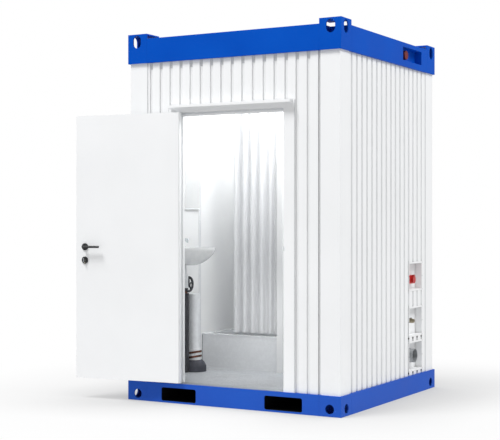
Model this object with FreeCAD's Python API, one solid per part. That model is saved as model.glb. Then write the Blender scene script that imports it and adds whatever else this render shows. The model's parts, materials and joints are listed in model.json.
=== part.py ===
import FreeCAD, Part
import math
import os

V = FreeCAD.Vector
X = V(1, 0, 0)
Y = V(0, 1, 0)
Z = V(0, 0, 1)
os.makedirs("parts", exist_ok=True)

# A one-person sanitary cabin: steel frame with lifting corners, grooved cladding,
# one door, shower, wash basin and toilet. Millimetres. The origin is on the ground
# under the middle of the cabin, X to the right, Y to the rear, the door faces -Y.

# Overall size
WIDTH = 1800.0            # over the rails, X
DEPTH = 1800.0            # over the rails, Y
HEIGHT = 2790.0           # ground to the top of the lifting corners

# Steel frame
BASE_RAIL_HEIGHT = 147.0
BASE_RAIL_DEEP = 120.0
BASE_RAIL_WALL = 5.0
BASE_RAIL_LIP = 25.0
ROOF_RAIL_HEIGHT = 185.0
ROOF_RAIL_DEEP = 60.0
ROOF_RAIL_WALL = 3.0
ROOF_SHEET_BELOW = 17.0   # roof sheet under the top of the rails
CORNER_RISE = 38.0        # lifting corner above the roof rail
CORNER_SIZE = 171.0
CORNER_WALL = 10.0
LASHING_HOLE = 68.0
LASHING_FROM_EDGE = 90.0
LASHING_Z = 52.0
LIFTING_SLOT_WIDE = 70.0
LIFTING_SLOT_TALL = 97.0
LIFTING_SLOT_FROM_EDGE = 82.0
POST_INSET = 15.0         # post face behind the rail face
POST_WIDE = 154.0
POST_WALL = 3.0
FORK_POCKET_NEAR = 290.0  # pocket's inner side from the middle
FORK_POCKET_WIDE = 305.0
FORK_POCKET_TALL = 101.0
FORK_POCKET_Z = 13.0
FORK_POCKET_RADIUS = 15.0
FORK_TUBE_WALL = 4.0

# Wall, from outside to inside
CLADDING_INSET = 18.0     # flats of the grooved sheet behind the rail face
CLADDING_SHEET = 1.0
CLADDING_GAP = 2.0        # joint line beside each post
GROOVE_PITCH = 89.0
GROOVE_WIDE = 28.0
GROOVE_DEEP = 10.0
GROOVE_FLANK = 4.0
SIDE_GROOVE_START = -702.0
WALL_DEEP = 58.0          # cladding flats to the outside of the lining
LINING = 12.0
CEILING = 12.0

# Floor
JOIST_WIDE = 60.0
JOIST_SIDE_X = 690.0
FLOOR_BOARD = 22.0
FLOOR_COVERING = 3.0

# Door opening
POCKET_LEFT = -461.0
POCKET_RIGHT = 440.0
POCKET_TOP = 2180.0
POCKET_DEEP = 48.0
STOP_LAP = 18.0
TOP_STOP_LAP = 26.0
FRAME_SHEET = 3.0
FRAME_HEM = 6.0
LEFT_JAMB = 50.0
RIGHT_JAMB = 64.0
HEAD_TALL = 32.0
FRAME_FLANGE = 27.0
HEAD_FLANGE = 21.0
REAR_FLANGE = 20.0
GASKET_THICK = 3.0
GASKET_WIDE = 12.0
GASKET_INSET = 2.0
THRESHOLD = 5.0
CAP_PROJECTS = 45.0
CAP_TALL = 21.0
CAP_SHEET = 1.5
CAP_FALL = 3.0            # slope of the cap to its front edge
CAP_LEFT = -521.0
CAP_RIGHT = 513.0

# Door leaf
LEAF_THICK = 40.0
LEAF_SKIN = 1.2
LEAF_SIDE_GAP = 4.0
LEAF_TOP_GAP = 4.0
LEAF_FLOOR_GAP = 7.0
LEAF_FRONT_SET = 2.0      # leaf face behind the frame face
LEAF_CHAMFER = 6.0
OPEN_ANGLE = 174.5        # how far the door stands open
HINGE_FROM_EDGE = 22.0
HINGE_FRONT = 10.0        # hinge axis in front of the leaf face
HINGE_KNUCKLE = 7.5
HINGE_PIN = 4.0
HINGE_TALL = 120.0
HINGE_HEIGHTS = (330.0, 1190.0, 1990.0)
HINGE_LEAF_PLATE = 62.0
HINGE_FRAME_PLATE = 70.0
HINGE_PLATE = 3.5
HINGE_CLEAR = 0.3
RUNNING = 0.05            # radial play of a pin or shaft in its hole

# Lock
LEVER_Z = 1168.0
BACKSET = 80.0
CYLINDER_DROP = 103.0
LEVER_LONG = 145.0
LEVER_STAND = 46.0
LEVER_NECK = 8.5
ROSETTE = 27.0
ROSETTE_THICK = 8.0
SPINDLE = 8.0
CASE_THICK = 18.0
CASE_TALL = 240.0
CASE_DEEP = 108.0
CASE_WALL = 1.5
FOREND_TALL = 270.0
FOREND_WIDE = 24.0
FOREND_THICK = 3.0
LATCH_TALL = 30.0
LATCH_THICK = 12.0
LATCH_OUT = 11.0
LATCH_LONG = 45.0
DEAD_BOLT_TALL = 34.0
DEAD_BOLT_THICK = 11.0
DEAD_BOLT_LONG = 48.0
BOLT_PLAY = 0.3
LATCH_PLAY = 2.0          # round the bolts in the frame
CYLINDER = 8.5
CYLINDER_FOOT = 10.0
CYLINDER_TALL = 24.5      # foot below the middle of the round
CYLINDER_TO_BOLT = 45.0
SPINDLE_HOLE = 9.0
LEVER_CLEAR = 0.3
ROSETTE_ROUND = 2.0
THUMB_SHAFT = 3.0
THUMB_DEEP = 12.0
THUMB_STAND = 18.0
THUMB_WIDE = 9.0
THUMB_TALL = 30.0
THUMB_ROUND = 2.25
STRIKE_SHEET = 1.5

# Wall services
BOX_SHEET = 2.0
BOX_BEFORE_POST = 211.0   # middle of the boxes, from the rear post
BOX_FRAME_WIDE = 292.0
BOX_FLANGE = 12.0
POWER_BOX_Z = (811.0, 1042.0)
WATER_BOX_Z = (449.0, 689.0)
WASTE_BOX_Z = (175.0, 415.0)
RECESS_BEFORE_BLOCK = (506.0, 122.0)  # window in the right roof rail, from its rear block
RECESS_ABOVE = (47.0, 151.0)  # from the underside of the rail
RECESS_FLOOR = 3.0
INLET_Z = 901.0
INLET_WIDE = 108.0
INLET_TALL = 66.0
INLET_DEEP = 32.0
INLET_ROUND = 8.0
INLET_COLLAR = 27.0
INLET_BORE = 22.0
INLET_COLLAR_LONG = 12.0
LID_THICK = 4.0
ROOF_INLET_IN = 127.0     # from the front end of its window
ROOF_INLET = 36.0
ROOF_INLET_LONG = 34.0
ROOF_INLET_ROUND = 4.0
VALVE_OFF_MID = 15.0
VALVE_Z = 571.0
VALVE_BODY = 17.0
VALVE_PIPE = 11.0
VALVE_NUT = 14.0
VALVE_LEVER_LONG = 60.0
VALVE_LEVER_WIDE = 9.0
DRAIN_Z = 295.0
DRAIN = 55.0
DRAIN_WALL = 3.2
DRAIN_BEND_X = 752.0
DRAIN_OFF_WALL = 74.0

# Shower
TRAY_FRONT_Y = 35.0
TRAY_RIM_Z = 435.0
TRAY_RIM = 10.0
TRAY_RIM_WIDE = 50.0
TRAY_WALL = 6.0
TRAY_DEEP = 150.0
TRAY_FOOT = 20.0
TRAY_FOOT_IN = 150.0
TRAY_OVERHANG = 3.0
APRON = 12.0
PARTITION_LEFT = -103.0
PARTITION = 54.0
PARTITION_FRONT_Y = 20.0
CURTAIN_Y = 72.0
CURTAIN_FREE_X = -525.0
CURTAIN_ABOVE_TRAY = 23.0
CURTAIN_BELOW_CEILING = 97.0
CURTAIN_THICK = 2.0
CURTAIN_FOLD_ANGLE = 80.0
CURTAIN_FLANK_TOP = 8.0
CURTAIN_FLANK_BOTTOM = 20.0
CURTAIN_FOLDS = (38, 43, 42, 33, 41, 41, 43, 41, 38, 21, 19, 18)
TRACK_WIDE = 18.0
TRACK_TALL = 14.0
TRACK_ABOVE = 16.0
SHOWER_X = -450.0
MIXER_Z = 1250.0
SHOWER_HEAD_Z = 2180.0

# Basin
BASIN_FROM_FRONT = 322.0
BASIN_RIM_Z = 1157.0
BASIN_REACH = 420.0
BASIN_HALF = 265.0
BASIN_DEEP = 136.0
BASIN_RIM = 28.0
TAP_X = -752.0
STACK_X = -747.0
STACK_BEHIND_BASIN = 295.0
STACK = 45.0
STACK_FOOT = 58.0         # socket at the floor
STACK_FOOT_TALL = 180.0
STACK_TOP_Z = 775.0
SLEEVE_X = -757.0
SLEEVE_BEFORE_STACK = 106.0
SLEEVE = 25.0
SLEEVE_TOP_Z = 785.0
COPPER = 11.0
WHEEL = 65.0
WHEEL_X = -729.0
WHEEL_Z = 858.0
BOOT_TALL = 93.6
BOOT_FOOT = 45.0
BOOT_WAIST = 84.0
BOOT_WAIST_Z = 76.0
BOOT = 100.0
BOOT_WALL = 5.0

# Toilet
TOILET_X = 370.0
TOILET_STANDS_OUT = 662.0 # from the rear wall
TOILET_RIM = 400.0        # above the floor
TOILET_LONG = 440.0
TOILET_WIDE = 360.0
SEAT_THICK = 15.0
TOILET_LID = 16.0
LID_OPEN = 93.0
SEAT_HINGE_OFF_WALL = 200.0
CISTERN_WIDE = 380.0
CISTERN_DEEP = 152.0
CISTERN_TALL = 370.0

# Small fittings
MIRROR_FROM_FRONT = (89.0, 789.0)
MIRROR_Z = (1465.0, 2065.0)
MIRROR_THICK = 14.0
PAPER_BEHIND_RIM = 180.0
PAPER_Z = 850.0
PAPER_ROLL = 55.0
PAPER_CORE = 20.0
PAPER_WIDE = 100.0
LIGHT = 140.0
LIGHT_TALL = 60.0

# Small parts of the fittings
INLET_PINS = 5
INLET_PIN = 3.0
INLET_PIN_RING = 14.0
LID_AXIS = 2.0
LID_EAR = 2.0
LID_EAR_Y = 14.0
LID_ARM_Y = 8.0
LID_AXIS_OUT = 6.0        # hinge axis above the collar
LID_AXIS_FROM = 6.0       # hinge axis in front of the housing
LID_CLEAR = 0.3
LID_LAP = 1.0
VALVE_TAIL = 60.0
VALVE_BACK = 4.0
VALVE_STEM = 3.0
VALVE_LEVER_THICK = 4.0
DRAIN_MOUTH_BACK = 4.0
TOILET_OUTLET_OFF_WALL = 157.0
STACK_COLLAR = 122.0
BRANCH = 16.0
BASIN_WASTE_X = -650.0
TRAP = 30.0
TRAP_Z = 840.0
TRAP_TALL = 100.0
TRAP_SIDE = 70.0
MIXER = 22.0
MIXER_HALF = 75.0
MIXER_FEED = 12.0
MIXER_FEED_SIDE = 45.0
MIXER_CAP = 17.6
MIXER_REACH = 50.0
MIXER_NOSE = 12.0
MIXER_LEVER_THICK = 10.0
MIXER_LEVER_LONG = 70.0
MIXER_LEVER_WIDE = 12.0
RISER = 9.0
RISER_CLIP = 7.2
HEAD_REACH = 220.0
HEAD_DROP = 60.0
SHOWER_HEAD = 100.0
HEAD_THICK = 12.0
HEAD_EDGE = 6.0
HEAD_NECK = 10.0
SHOWER_DRAIN = 50.0
SHOWER_DRAIN_TALL = 4.0
TRACK_SHEET = 1.5
TRACK_SLOT = 2.5
TRACK_ROD = 5.0
TRACK_ROD_IN = 54.0
GLIDER = 6.0
GLIDER_STEM = 1.5
GLIDER_HEAD = 3.0
GLIDER_CLEAR = 1.0
BASIN_LIP = 14.0
BASIN_SHELF = 110.0
BASIN_FLOOR = 16.0
FOOT_REACH = 0.62         # shares of the reach and half width of the basin
FOOT_WIDE = 0.48
BELLY_REACH = 0.9
BELLY_WIDE = 0.84
BELLY_DOWN = 0.55
BOWL_WIDE = 0.68
BOWL_FLOOR = 0.42
BOWL_BELLY = 0.81
TAP_BASE = 24.0
TAP_FOOT = 6.0
TAP_RADIUS = 18.0
TAP_TALL = 95.0
TAP_SPOUT = 11.0
TAP_SPOUT_Z = 62.0
TAP_NOSE_Z = 40.0
TAP_REACH = 125.0
TAP_LEVER_THICK = 12.0
TAP_LEVER_LONG = 75.0
SUPPLY_SIDE = 60.0
UNION_ABOVE = 6.0
UNION_TALL = 32.0
UNION = 18.0
SUPPLY = 7.7
RING_Z = 302.0
RING_TALL = 16.0
RING_STEP = 36.0
RING_TILT = 10.0          # the bands hang a little askew
RING_WALL = 6.0
WHEEL_RIM = 9.5
WHEEL_HUB = 20.0
WHEEL_SPOKES = 5
WHEEL_SPOKE = 6.5
TOILET_FOOT_BACK = 60.0
TOILET_DECK = 80.0
TOILET_WALL = 12.0
TOILET_RIM_WALL = 19.2
TOILET_DECK_LAP = 88.0
TOILET_DECK_ROUND = 20.0
TOILET_LEAN = 0.5         # below this share of the height the bowl stands over its foot
TOILET_SHAPE = ((0.55, 0.75, 0.0), (0.5, 0.7, 0.35), (0.9, 0.92, 0.8), (1.0, 1.0, 1.0))
TOILET_THROAT = (0.3, 0.3, 0.4)
CISTERN_ROUND = 25.0
CISTERN_GAP = 2.0
SEAT_CLEAR = 0.3
SEAT_WIDE = 62.0
HINGE_SPREAD = 75.0
HINGE_ARM = 10.0
HINGE_ROD = 3.0
LUG = 16.0
BUTTON = 20.0
BUTTON_PLAY = 0.3
BUTTON_UP = 4.0
PAPER_GAP = 12.0
PAPER_PLATE = 3.0
PAPER_PLATE_HALF = 20.0
PAPER_ARM = 6.0
PAPER_ARM_HALF = 8.0
PAPER_SIDE = 2.0
PAPER_BAR_BORE = 17.0
LIGHT_FACE = 105.0
LIGHT_BEND = 27.0
LIGHT_X = 250.0
LIGHT_Y = -350.0

# Shares and reaches used by the helpers
ALONG = 0.9               # cosine that counts as running along an axis
PAST = 1.0                # how far a cutter runs past the face

# Planes that several pieces share
OUT_X = WIDTH / 2
OUT_Y = DEPTH / 2
ROOF_RAIL_TOP = HEIGHT - CORNER_RISE
ROOF_RAIL_Z = ROOF_RAIL_TOP - ROOF_RAIL_HEIGHT
RAIL_END_X = OUT_X - CORNER_SIZE
RAIL_END_Y = OUT_Y - CORNER_SIZE
POST_X = OUT_X - POST_INSET
POST_Y = OUT_Y - POST_INSET
FLAT_X = OUT_X - CLADDING_INSET
FLAT_Y = OUT_Y - CLADDING_INSET
LINING_X = FLAT_X - WALL_DEEP
LINING_Y = FLAT_Y - WALL_DEEP
ROOM_X = LINING_X - LINING
ROOM_Y = LINING_Y - LINING
WALL_END_X = POST_X - POST_WIDE
WALL_END_Y = POST_Y - POST_WIDE
BOX_MID_Y = WALL_END_Y - BOX_BEFORE_POST
VALVE_Y = BOX_MID_Y - VALVE_OFF_MID
RECESS_Y = (RAIL_END_Y - RECESS_BEFORE_BLOCK[0], RAIL_END_Y - RECESS_BEFORE_BLOCK[1])
ROOF_INLET_Y = RECESS_Y[0] + ROOF_INLET_IN
DRAIN_REAR_Y = ROOM_Y - DRAIN_OFF_WALL
BASIN_Y = BASIN_FROM_FRONT - ROOM_Y
STACK_Y = BASIN_Y + STACK_BEHIND_BASIN
SLEEVE_Y = STACK_Y - SLEEVE_BEFORE_STACK
MIRROR_Y = (MIRROR_FROM_FRONT[0] - ROOM_Y, MIRROR_FROM_FRONT[1] - ROOM_Y)
TOILET_FRONT_Y = ROOM_Y - TOILET_STANDS_OUT
TOILET_OUTLET_Y = ROOM_Y - TOILET_OUTLET_OFF_WALL
SEAT_HINGE_Y = ROOM_Y - SEAT_HINGE_OFF_WALL
PAPER_Y = TOILET_FRONT_Y + PAPER_BEHIND_RIM
FLOOR_Z = BASE_RAIL_HEIGHT + FLOOR_COVERING
CEILING_Z = ROOF_RAIL_Z - CEILING
RECESS_Z = (ROOF_RAIL_Z + RECESS_ABOVE[0], ROOF_RAIL_Z + RECESS_ABOVE[1])
GROOVE_BACK = GROOVE_DEEP + CLADDING_SHEET
FRAME_FACE_Y = -(FLAT_Y + FRAME_HEM)
STOP_Y = FRAME_FACE_Y + POCKET_DEEP
REAR_FACE_Y = -(ROOM_Y - FRAME_SHEET)
CORE_LEFT = POCKET_LEFT - LEFT_JAMB
CORE_RIGHT = POCKET_RIGHT + RIGHT_JAMB
CORE_TOP = POCKET_TOP + HEAD_TALL
LEAF_LEFT = POCKET_LEFT + LEAF_SIDE_GAP
LEAF_RIGHT = POCKET_RIGHT - LEAF_SIDE_GAP
LEAF_TOP = POCKET_TOP - LEAF_TOP_GAP
LEAF_BOTTOM = BASE_RAIL_HEIGHT + THRESHOLD + LEAF_FLOOR_GAP
LEAF_FACE_Y = FRAME_FACE_Y + LEAF_FRONT_SET
LEAF_BACK_Y = LEAF_FACE_Y + LEAF_THICK
LEAF_MID_Y = LEAF_FACE_Y + LEAF_THICK / 2
HINGE_X = LEAF_LEFT + HINGE_FROM_EDGE
HINGE_Y = LEAF_FACE_Y - HINGE_FRONT
SPINDLE_X = LEAF_RIGHT - BACKSET
CYLINDER_Z = LEVER_Z - CYLINDER_DROP
CASE_Z = (LEVER_Z + CYLINDER_Z) / 2
TRAY_X = PARTITION_LEFT
PARTITION_RIGHT = PARTITION_LEFT + PARTITION
CURTAIN_BOTTOM_Z = TRAY_RIM_Z + CURTAIN_ABOVE_TRAY
CURTAIN_TOP_Z = CEILING_Z - CURTAIN_BELOW_CEILING


def box(x, y, z):
    """A box from three (low, high) pairs."""
    return Part.makeBox(x[1] - x[0], y[1] - y[0], z[1] - z[0], V(x[0], y[0], z[0]))


def rod(radius, start, along, length):
    return Part.makeCylinder(radius, length, V(*start), along)


def pipe(radius, wall, start, along, length):
    return rod(radius, start, along, length).cut(rod(radius - wall, start, along, length))


def face_of(points):
    corners = [V(*p) for p in points]
    return Part.Face(Part.makePolygon(corners + corners[:1]))


def prism(points, along):
    """A straight bar whose end face has the given corner points."""
    return face_of(points).extrude(V(*along))


def edges_along(solid, axis):
    """Edges of the solid that start along the axis."""
    return [e for e in solid.Edges if abs(e.tangentAt(e.FirstParameter).dot(axis)) > ALONG]


def spun(points, at, axis=Z):
    """Turns a section, given as (radius, height) points, about an upright axis."""
    ring = [V(at[0] + r, at[1], h) for r, h in points]
    return Part.Face(Part.makePolygon(ring + ring[:1])).revolve(V(*at), axis, 360)


def slot(wide, tall, centre, along, long):
    """An upright oblong bar along X or Y, used as a cutting tool."""
    side = Y if abs(along.x) > 0.5 else X
    radius = wide / 2
    reach = (tall - wide) / 2
    middle = V(*centre)
    ends = [Part.makeCylinder(radius, long, middle + Z * s * reach, along) for s in (-1, 1)]
    corner = middle - side * radius - Z * reach
    flat = face_of([corner, corner + side * wide, corner + side * wide + Z * 2 * reach,
                    corner + Z * 2 * reach])
    return ends[0].fuse([ends[1], flat.extrude(along * long)]).removeSplitter()


def four_corners(shape):
    """The front left piece and its three mirror images."""
    front = [shape, shape.mirror(V(0, 0, 0), X)]
    return front + [piece.mirror(V(0, 0, 0), Y) for piece in front]


def swung(shape):
    """Opens a piece of the closed door to where the door stands."""
    result = shape.copy()
    result.rotate(V(HINGE_X, HINGE_Y, 0), Z, -OPEN_ANGLE)
    return result


def node(name, solids):
    """Writes one sub-part; a list becomes one file with several solids."""
    pieces = [solid for shape in solids for solid in shape.Solids]
    whole = pieces[0] if len(pieces) == 1 else Part.makeCompound(pieces)
    whole.exportStep("parts/" + name + ".step")
    print(name, len(pieces), "solids, valid", all(p.isValid() for p in pieces))


def offset_line(points, distance):
    """Moves a flat open line of (u, v) points sideways, with mitred corners."""
    normals = []
    for a, b in zip(points, points[1:]):
        long = math.hypot(b[0] - a[0], b[1] - a[1])
        normals.append((-(b[1] - a[1]) / long, (b[0] - a[0]) / long))
    moved = []
    for i, p in enumerate(points):
        before = normals[max(i - 1, 0)]
        after = normals[min(i, len(normals) - 1)]
        mid = (before[0] + after[0], before[1] + after[1])
        scale = 2 * distance / (mid[0] ** 2 + mid[1] ** 2)
        moved.append((p[0] + mid[0] * scale, p[1] + mid[1] * scale))
    return moved


def make_base_rails():
    """Channels open to the inside; the front and rear ones have the fork pockets."""
    wall = BASE_RAIL_WALL
    inner = BASE_RAIL_DEEP
    section = [(0, 0), (inner, 0), (inner, BASE_RAIL_LIP), (inner - wall, BASE_RAIL_LIP),
               (inner - wall, wall), (wall, wall), (wall, BASE_RAIL_HEIGHT - wall),
               (inner - wall, BASE_RAIL_HEIGHT - wall),
               (inner - wall, BASE_RAIL_HEIGHT - BASE_RAIL_LIP),
               (inner, BASE_RAIL_HEIGHT - BASE_RAIL_LIP), (inner, BASE_RAIL_HEIGHT),
               (0, BASE_RAIL_HEIGHT)]
    front = prism([(-RAIL_END_X, u - OUT_Y, v) for u, v in section], (2 * RAIL_END_X, 0, 0))
    for side in (-1, 1):
        middle = side * (FORK_POCKET_NEAR + FORK_POCKET_WIDE / 2)
        front = front.cut(pocket_bore(middle, -OUT_Y, wall))
        front = front.cut(pocket_tube(middle))
    left = prism([(u - OUT_X, -RAIL_END_Y, v) for u, v in section], (0, 2 * RAIL_END_Y, 0))
    node("base_rails", [front, front.mirror(V(0, 0, 0), Y), left, left.mirror(V(0, 0, 0), X)])


def pocket_bore(middle, start, long, grow=0.0):
    """The rounded opening of a fork pocket as a bar along Y."""
    wide = FORK_POCKET_WIDE / 2 + grow
    low = FORK_POCKET_Z - grow
    high = FORK_POCKET_Z + FORK_POCKET_TALL + grow
    bar = box((middle - wide, middle + wide), (start, start + long), (low, high))
    return bar.makeFillet(FORK_POCKET_RADIUS + grow, edges_along(bar, Y))


def pocket_tube(middle):
    start = BASE_RAIL_WALL - OUT_Y
    long = DEPTH - 2 * BASE_RAIL_WALL
    return pocket_bore(middle, start, long, FORK_TUBE_WALL)


def make_fork_pocket_tubes():
    tubes = []
    for side in (-1, 1):
        middle = side * (FORK_POCKET_NEAR + FORK_POCKET_WIDE / 2)
        tubes.append(pocket_tube(middle).cut(pocket_bore(middle, -OUT_Y, DEPTH)))
    node("fork_pocket_tubes", tubes)


def make_bottom_corner_blocks():
    x = (-OUT_X, -RAIL_END_X)
    y = (-OUT_Y, -RAIL_END_Y)
    block = hollow_block(x, y, (0, BASE_RAIL_HEIGHT))
    hole = LASHING_HOLE / 2
    mid_x = LASHING_FROM_EDGE - OUT_X
    mid_y = LASHING_FROM_EDGE - OUT_Y
    block = block.cut(rod(hole, (mid_x, -OUT_Y, LASHING_Z), Y, CORNER_WALL))
    block = block.cut(rod(hole, (-OUT_X, mid_y, LASHING_Z), X, CORNER_WALL))
    block = block.cut(rod(hole, (mid_x, mid_y, 0), Z, CORNER_WALL))
    node("bottom_corner_blocks", four_corners(block))


def hollow_block(x, y, z):
    wall = CORNER_WALL
    hollow = box((x[0] + wall, x[1] - wall), (y[0] + wall, y[1] - wall),
                 (z[0] + wall, z[1] - wall))
    return box(x, y, z).cut(hollow)


def make_top_corner_blocks():
    x = (-OUT_X, -RAIL_END_X)
    y = (-OUT_Y, -RAIL_END_Y)
    wall = CORNER_WALL
    block = hollow_block(x, y, (ROOF_RAIL_Z, HEIGHT))
    mid_x = LIFTING_SLOT_FROM_EDGE - OUT_X
    mid_y = LIFTING_SLOT_FROM_EDGE - OUT_Y
    slot_z = HEIGHT - wall - LIFTING_SLOT_TALL / 2
    wide = LIFTING_SLOT_WIDE
    block = block.cut(slot(wide, LIFTING_SLOT_TALL, (mid_x, -OUT_Y, slot_z), Y, wall))
    block = block.cut(slot(wide, LIFTING_SLOT_TALL, (-OUT_X, mid_y, slot_z), X, wall))
    block = block.cut(rod(wide / 2, (mid_x, mid_y, HEIGHT - wall), Z, wall))
    open_z = (ROOF_RAIL_TOP, HEIGHT - wall)
    inner = box((x[0] + wall, x[1]), (y[0] + wall, y[1]), open_z)
    node("top_corner_blocks", four_corners(block.cut(inner)))


def make_corner_posts():
    """L-shaped hollow columns between the bottom and top corner blocks."""
    leg = POST_X - LINING_X
    z = (BASE_RAIL_HEIGHT, ROOF_RAIL_Z)

    def angle(inset):
        far_x = WALL_END_X + inset
        far_y = WALL_END_Y + inset
        out_x = POST_X - inset
        out_y = POST_Y - inset
        in_x = LINING_X + inset
        in_y = out_y - leg + 2 * inset
        return [(-out_x, -out_y, z[0]), (-far_x, -out_y, z[0]), (-far_x, -in_y, z[0]),
                (-in_x, -in_y, z[0]), (-in_x, -far_y, z[0]), (-out_x, -far_y, z[0])]

    tall = (0, 0, z[1] - z[0])
    post = prism(angle(0.0), tall).cut(prism(angle(POST_WALL), tall))
    node("corner_posts", four_corners(post))


def groove_line(starts, low, high):
    """The outer line of a grooved sheet as (along, depth) points."""
    line = [(low, 0.0)]
    for start in starts:
        shape = [(start, 0.0), (start + GROOVE_FLANK, GROOVE_DEEP),
                 (start + GROOVE_WIDE - GROOVE_FLANK, GROOVE_DEEP), (start + GROOVE_WIDE, 0.0)]
        if shape[0][0] > low and shape[3][0] < high:
            line += shape
        elif low < shape[1][0] and shape[2][0] > high > shape[1][0]:
            line += shape[:2] + [(high, GROOVE_DEEP)]
    if line[-1][0] < high:
        line.append((high, 0.0))
    return line


def grooved_sheet(starts, low, high):
    """Section of a grooved sheet as a closed list of (along, depth) points."""
    line = groove_line(starts, low, high)
    inner = offset_line(line, CLADDING_SHEET)
    inner[0] = (low, inner[0][1])
    inner[-1] = (high, inner[-1][1])
    return line + inner[::-1]


def front_grooves():
    count = int(WALL_END_X // GROOVE_PITCH) + 1
    return [GROOVE_PITCH * k for k in range(-count, count + 1)]


def side_grooves():
    room = WALL_END_Y - SIDE_GROOVE_START - GROOVE_WIDE
    count = int(room // GROOVE_PITCH) + 1
    return [SIDE_GROOVE_START + GROOVE_PITCH * k for k in range(count)]


def front_sheet():
    end = WALL_END_X - CLADDING_GAP
    section = grooved_sheet(front_grooves(), -end, end)
    tall = ROOF_RAIL_Z - BASE_RAIL_HEIGHT
    return prism([(u, v - FLAT_Y, BASE_RAIL_HEIGHT) for u, v in section], (0, 0, tall))


def right_sheet():
    end = WALL_END_Y - CLADDING_GAP
    section = grooved_sheet(side_grooves(), -end, end)
    tall = ROOF_RAIL_Z - BASE_RAIL_HEIGHT
    return prism([(FLAT_X - v, u, BASE_RAIL_HEIGHT) for u, v in section], (0, 0, tall))


def door_hole():
    """The hole in the front wall that the door frame fills."""
    return box((CORE_LEFT, CORE_RIGHT), (-OUT_Y, 0), (0, CORE_TOP))


def service_boxes():
    return (POWER_BOX_Z, WATER_BOX_Z, WASTE_BOX_Z)


def service_hole(z):
    """The space a connection box takes in the right wall."""
    half = BOX_FRAME_WIDE / 2 - BOX_FLANGE
    return box((LINING_X, OUT_X), (BOX_MID_Y - half, BOX_MID_Y + half),
               (z[0] + BOX_FLANGE, z[1] - BOX_FLANGE))


def make_cladding():
    front = front_sheet().cut(door_hole())
    node("cladding_front", [front])
    node("cladding_rear", [front_sheet().mirror(V(0, 0, 0), Y)])
    right = right_sheet()
    node("cladding_left", [right.mirror(V(0, 0, 0), X)])
    for z in service_boxes():
        right = right.cut(service_hole(z))
    node("cladding_right", [right])


def make_insulation():
    """Boards that fill the walls and the roof behind the cladding."""
    z = (BASE_RAIL_HEIGHT, ROOF_RAIL_Z)
    back_x = FLAT_X - GROOVE_BACK
    back_y = FLAT_Y - GROOVE_BACK
    rear = box((-WALL_END_X, WALL_END_X), (LINING_Y, back_y), z)
    front = rear.mirror(V(0, 0, 0), Y).cut(door_hole())
    side = box((LINING_X, back_x), (-WALL_END_Y, WALL_END_Y), z)
    left = side.mirror(V(0, 0, 0), X)
    for hole in service_boxes():
        side = side.cut(service_hole(hole))
    inner_x = OUT_X - ROOF_RAIL_DEEP
    inner_y = OUT_Y - ROOF_RAIL_DEEP
    roof_z = (ROOF_RAIL_Z, roof_flat_z() - GROOVE_BACK)
    roof_middle = box((-inner_x, inner_x), (-RAIL_END_Y, RAIL_END_Y), roof_z)
    roof_rear = box((-RAIL_END_X, RAIL_END_X), (RAIL_END_Y, inner_y), roof_z)
    roof_front = roof_rear.mirror(V(0, 0, 0), Y)
    node("insulation", [front, rear, side, left, roof_middle, roof_rear, roof_front])


def roof_flat_z():
    return ROOF_RAIL_TOP - ROOF_SHEET_BELOW


def roof_corners():
    z = (ROOF_RAIL_Z, HEIGHT)
    corner = box((-OUT_X, -RAIL_END_X), (-OUT_Y, -RAIL_END_Y), z)
    return Part.makeCompound(four_corners(corner))


def make_roof_sheet():
    inner_x = OUT_X - ROOF_RAIL_DEEP
    inner_y = OUT_Y - ROOF_RAIL_DEEP
    section = grooved_sheet(front_grooves(), -inner_x, inner_x)
    sheet = prism([(u, -inner_y, roof_flat_z() - v) for u, v in section], (0, 2 * inner_y, 0))
    node("roof_sheet", [sheet.cut(roof_corners())])


def make_roof_rails():
    """Closed box rails; the right one has a pocket for the power inlet."""
    wall = ROOF_RAIL_WALL
    z = (ROOF_RAIL_Z, ROOF_RAIL_TOP)
    inner_z = (z[0] + wall, z[1] - wall)

    def along_x(y_out, y_in):
        ends = (-RAIL_END_X, RAIL_END_X)
        hollow = box(ends, (y_out + wall, y_in - wall), inner_z)
        return box(ends, (y_out, y_in), z).cut(hollow)

    front = along_x(-OUT_Y, ROOF_RAIL_DEEP - OUT_Y)
    ends = (-RAIL_END_Y, RAIL_END_Y)
    inner_x = OUT_X - ROOF_RAIL_DEEP
    right = box((inner_x, OUT_X), ends, z)
    left = right.cut(box((inner_x + wall, OUT_X - wall), ends, inner_z))
    left = left.mirror(V(0, 0, 0), X)
    window = box((inner_x + RECESS_FLOOR, OUT_X), RECESS_Y, RECESS_Z)
    lined = box((inner_x, OUT_X), (RECESS_Y[0] - wall, RECESS_Y[1] + wall),
                (RECESS_Z[0] - wall, RECESS_Z[1] + wall))
    hollow = box((inner_x + wall, OUT_X - wall), ends, inner_z).cut(lined)
    right = right.cut(hollow).cut(window)
    node("roof_rails", [front, front.mirror(V(0, 0, 0), Y), left, right])


def make_floor():
    """Joists between the rails, a board on them and a sheet floor covering."""
    inner_x = OUT_X - BASE_RAIL_DEEP
    inner_y = OUT_Y - BASE_RAIL_DEEP
    board_z = (BASE_RAIL_HEIGHT - FLOOR_BOARD, BASE_RAIL_HEIGHT)
    corners = Part.makeCompound(four_corners(
        box((-OUT_X, -RAIL_END_X), (-OUT_Y, -RAIL_END_Y), (0, BASE_RAIL_HEIGHT))))
    board = box((-inner_x, inner_x), (-inner_y, inner_y), board_z).cut(corners)
    joists = []
    for x in (-JOIST_SIDE_X, 0.0, JOIST_SIDE_X):
        half = JOIST_WIDE / 2
        joists.append(box((x - half, x + half), (-inner_y, inner_y), (0, board_z[0])))
    node("floor_deck", [board] + joists)
    node("floor_covering", [box((-ROOM_X, ROOM_X), (-ROOM_Y, ROOM_Y),
                                (BASE_RAIL_HEIGHT, FLOOR_Z))])


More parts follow.
